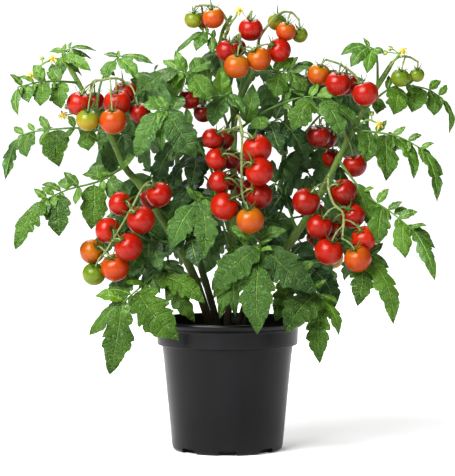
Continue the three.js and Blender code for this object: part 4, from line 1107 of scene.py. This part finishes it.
def petal_paint():
    """Thin yellow petals, paler towards the tip, with fine lengthwise veins."""
    paint = Paint("petal")
    along, across, chance = paint.split("place")
    lines = paint.node("TexWave", {"Vector": paint.join(across, chance), "Scale": 2.6,
                                   "Distortion": 1.5}, "Fac")
    yellow = paint.mix(along.eased(0.0, 1.0), colour(228, 206, 92), colour(240, 232, 164))
    yellow = yellow.tinted(lines * 0.18, (214, 190, 60))
    skin = paint.surface(base_color=yellow, roughness=0.5, normal=paint.bump(lines, 0.0002, 0.5))
    return paint.finish(paint.lit_through(skin, 0.3, Color=yellow))


LEAF_PAINTS = [
    leaf_paint("leaf_top", (20, 60, 8), (102, 148, 62), (108, 153, 14), (150, 184, 88),
               (118, 184, 6), 1.4),
    leaf_paint("leaf_under", (70, 108, 54), (120, 158, 92), (126, 166, 70), (170, 195, 130),
               (120, 190, 30), -0.9),
    stalk_paint("leaf_stalk", (56, 92, 30), (104, 138, 60)),
]
TRUSS_PAINTS = [
    fruit_paint(),
    stalk_paint("truss_stalk", (72, 94, 40), (142, 152, 94)),
    stalk_paint("calyx_green", (30, 62, 18), (70, 108, 38), sheen=0.15),
]
SPRAY_PAINTS = [
    petal_paint(),
    stalk_paint("bloom_green", (88, 128, 50), (136, 168, 80)),
    stalk_paint("anther_gold", (226, 178, 40), (242, 206, 80), sheen=0.1),
]
STEM_PAINTS = [stalk_paint("stem_green", (58, 84, 28), (104, 130, 54), 40.0, 0.3, (54, 42, 26))]

# ---------------------------------------------------------------- pieces


def mesh_of(name, shape, paints, sharp=50):
    """The shape as a mesh, with sharp edges where faces meet at more than that angle."""
    mesh = bpy.data.meshes.new(name)
    mesh.from_pydata(np.vstack(shape.points) * MM, [], shape.faces)
    for label, rows in (("place", shape.places), ("mark", shape.marks)):
        attribute = mesh.attributes.new(label, "FLOAT_VECTOR", "POINT")
        attribute.data.foreach_set("vector", np.vstack(rows).astype(np.float32).ravel())
    mesh.polygons.foreach_set("material_index", np.array(shape.slots, np.int32))
    for paint in paints:
        mesh.materials.append(paint)
    mesh.shade_smooth()
    mesh.set_sharp_from_angle(angle=math.radians(sharp))
    mesh.update()
    return mesh


def place_piece(node, mesh):
    """Puts a mesh in the CAD node's place."""
    piece = bpy.data.objects.new(node + "_detail", mesh)
    bpy.context.scene.collection.objects.link(piece)
    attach(piece, "root")
    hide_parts(node)


def cut_notches(mesh):
    """The pot's mesh with its drain notches cut out."""
    body = bpy.data.objects.new("pot_body", mesh)
    cutter = bpy.data.objects.new("pot_notches", notch_cutter())
    for thing in (body, cutter):
        bpy.context.scene.collection.objects.link(thing)
    cut = body.modifiers.new("notches", "BOOLEAN")
    cut.operation, cut.solver, cut.object = "DIFFERENCE", "EXACT", cutter
    ready = body.evaluated_get(bpy.context.evaluated_depsgraph_get())
    made = bpy.data.meshes.new_from_object(ready)
    for thing in (body, cutter):
        bpy.data.objects.remove(thing)
    made.shade_smooth()
    made.set_sharp_from_angle(angle=math.radians(35))
    return made


place_piece("pot", cut_notches(mesh_of("pot_body", pot_shape(), [pot_paint()], 35)))
place_piece("soil", mesh_of("soil", soil_shape(), [soil_paint()], 60))
for names, shape_of, paints, slot in ((STEMS, stem_shape, STEM_PAINTS, "stem"),
                                      (TRUSSES, truss_shape, TRUSS_PAINTS, "truss"),
                                      (LEAVES, leaf_shape, LEAF_PAINTS, "leaf"),
                                      (SHOOTS, shoot_shape, LEAF_PAINTS, "leaf"),
                                      (SPRAYS, spray_shape, SPRAY_PAINTS, "flower")):
    for name in names:
        place_piece(name, mesh_of(name, shape_of(name), paints))

# ---------------------------------------------------------------- studio, in metres

SKY_LIGHT = 0.12                 # of the white surroundings on the plant; the camera sees them as 1
FLOOR_HALF = 12
FLOOR_GLOW = 0.18, 0.88          # the floor's own light near the plant and far from it
GLOW_REACH = 0.12, 1.6
EYE = 0, -2.3, 0.33
LOOK_AT = 0, 0, 0.212
LENS, SENSOR = 173.9, 36         # millimetres

# Lamps: name, place, target, side and watts.
LAMPS = [
    ("key", (-0.9, -1.2, 1.5), (0, 0, 0.25), 1.3, 78),
    ("fill", (1.6, -1.4, 0.9), (0, 0, 0.25), 1.2, 5),
    ("back", (-0.2, 1.2, 1.7), (0, 0, 0.3), 1.2, 28),
]

scene = bpy.context.scene
scene.view_settings.view_transform = "Standard"
scene.view_settings.look = "Medium High Contrast"

floor_mesh = bpy.data.meshes.new("floor")
floor_mesh.from_pydata([[FLOOR_HALF * x, FLOOR_HALF * y, 0]
                        for x, y in ((-1, -1), (1, -1), (1, 1), (-1, 1))], [], [[0, 1, 2, 3]])
floor = bpy.data.objects.new("floor", floor_mesh)
scene.collection.objects.link(floor)
paint = Paint("floor_white")
far = paint.node("VectorMath", {0: paint.place()}, "Value", operation="LENGTH")
floor_mesh.materials.append(paint.coat(
    base_color=(0.8, 0.8, 0.8, 1), roughness=0.9, specular_ior_level=0.1,
    emission_color=(1, 1, 1, 1), emission_strength=far.eased(*GLOW_REACH, *FLOOR_GLOW)))

world = bpy.data.worlds.new("studio")
scene.world = world
world.use_nodes = True
background = world.node_tree.nodes["Background"]
background.inputs["Color"].default_value = (1, 1, 1, 1)
sky = world.node_tree.nodes.new("ShaderNodeMapRange")
sky.inputs["To Min"].default_value = SKY_LIGHT
sky.inputs["To Max"].default_value = 1.0
seen = world.node_tree.nodes.new("ShaderNodeLightPath")
world.node_tree.links.new(seen.outputs["Is Camera Ray"], sky.inputs["Value"])
world.node_tree.links.new(sky.outputs[0], background.inputs["Strength"])


def aimed(name, data, place, target):
    """A lamp or a camera that looks from a place at a target."""
    made = bpy.data.objects.new(name, data)
    made.location = place
    made.rotation_euler = (Vector(target) - made.location).to_track_quat("-Z", "Y").to_euler()
    scene.collection.objects.link(made)
    return made


def lamp(name, place, target, side, power):
    """A square soft box that the camera doesn't see."""
    data = bpy.data.lights.new(name, "AREA")
    data.shape, data.size, data.energy = "SQUARE", side, power
    aimed(name, data, place, target).visible_camera = False


for row in LAMPS:
    lamp(*row)

camera_data = bpy.data.cameras.new("camera")
camera_data.lens, camera_data.sensor_width = LENS, SENSOR
camera_data.clip_end = 100
scene.camera = aimed("camera", camera_data, EYE, LOOK_AT)
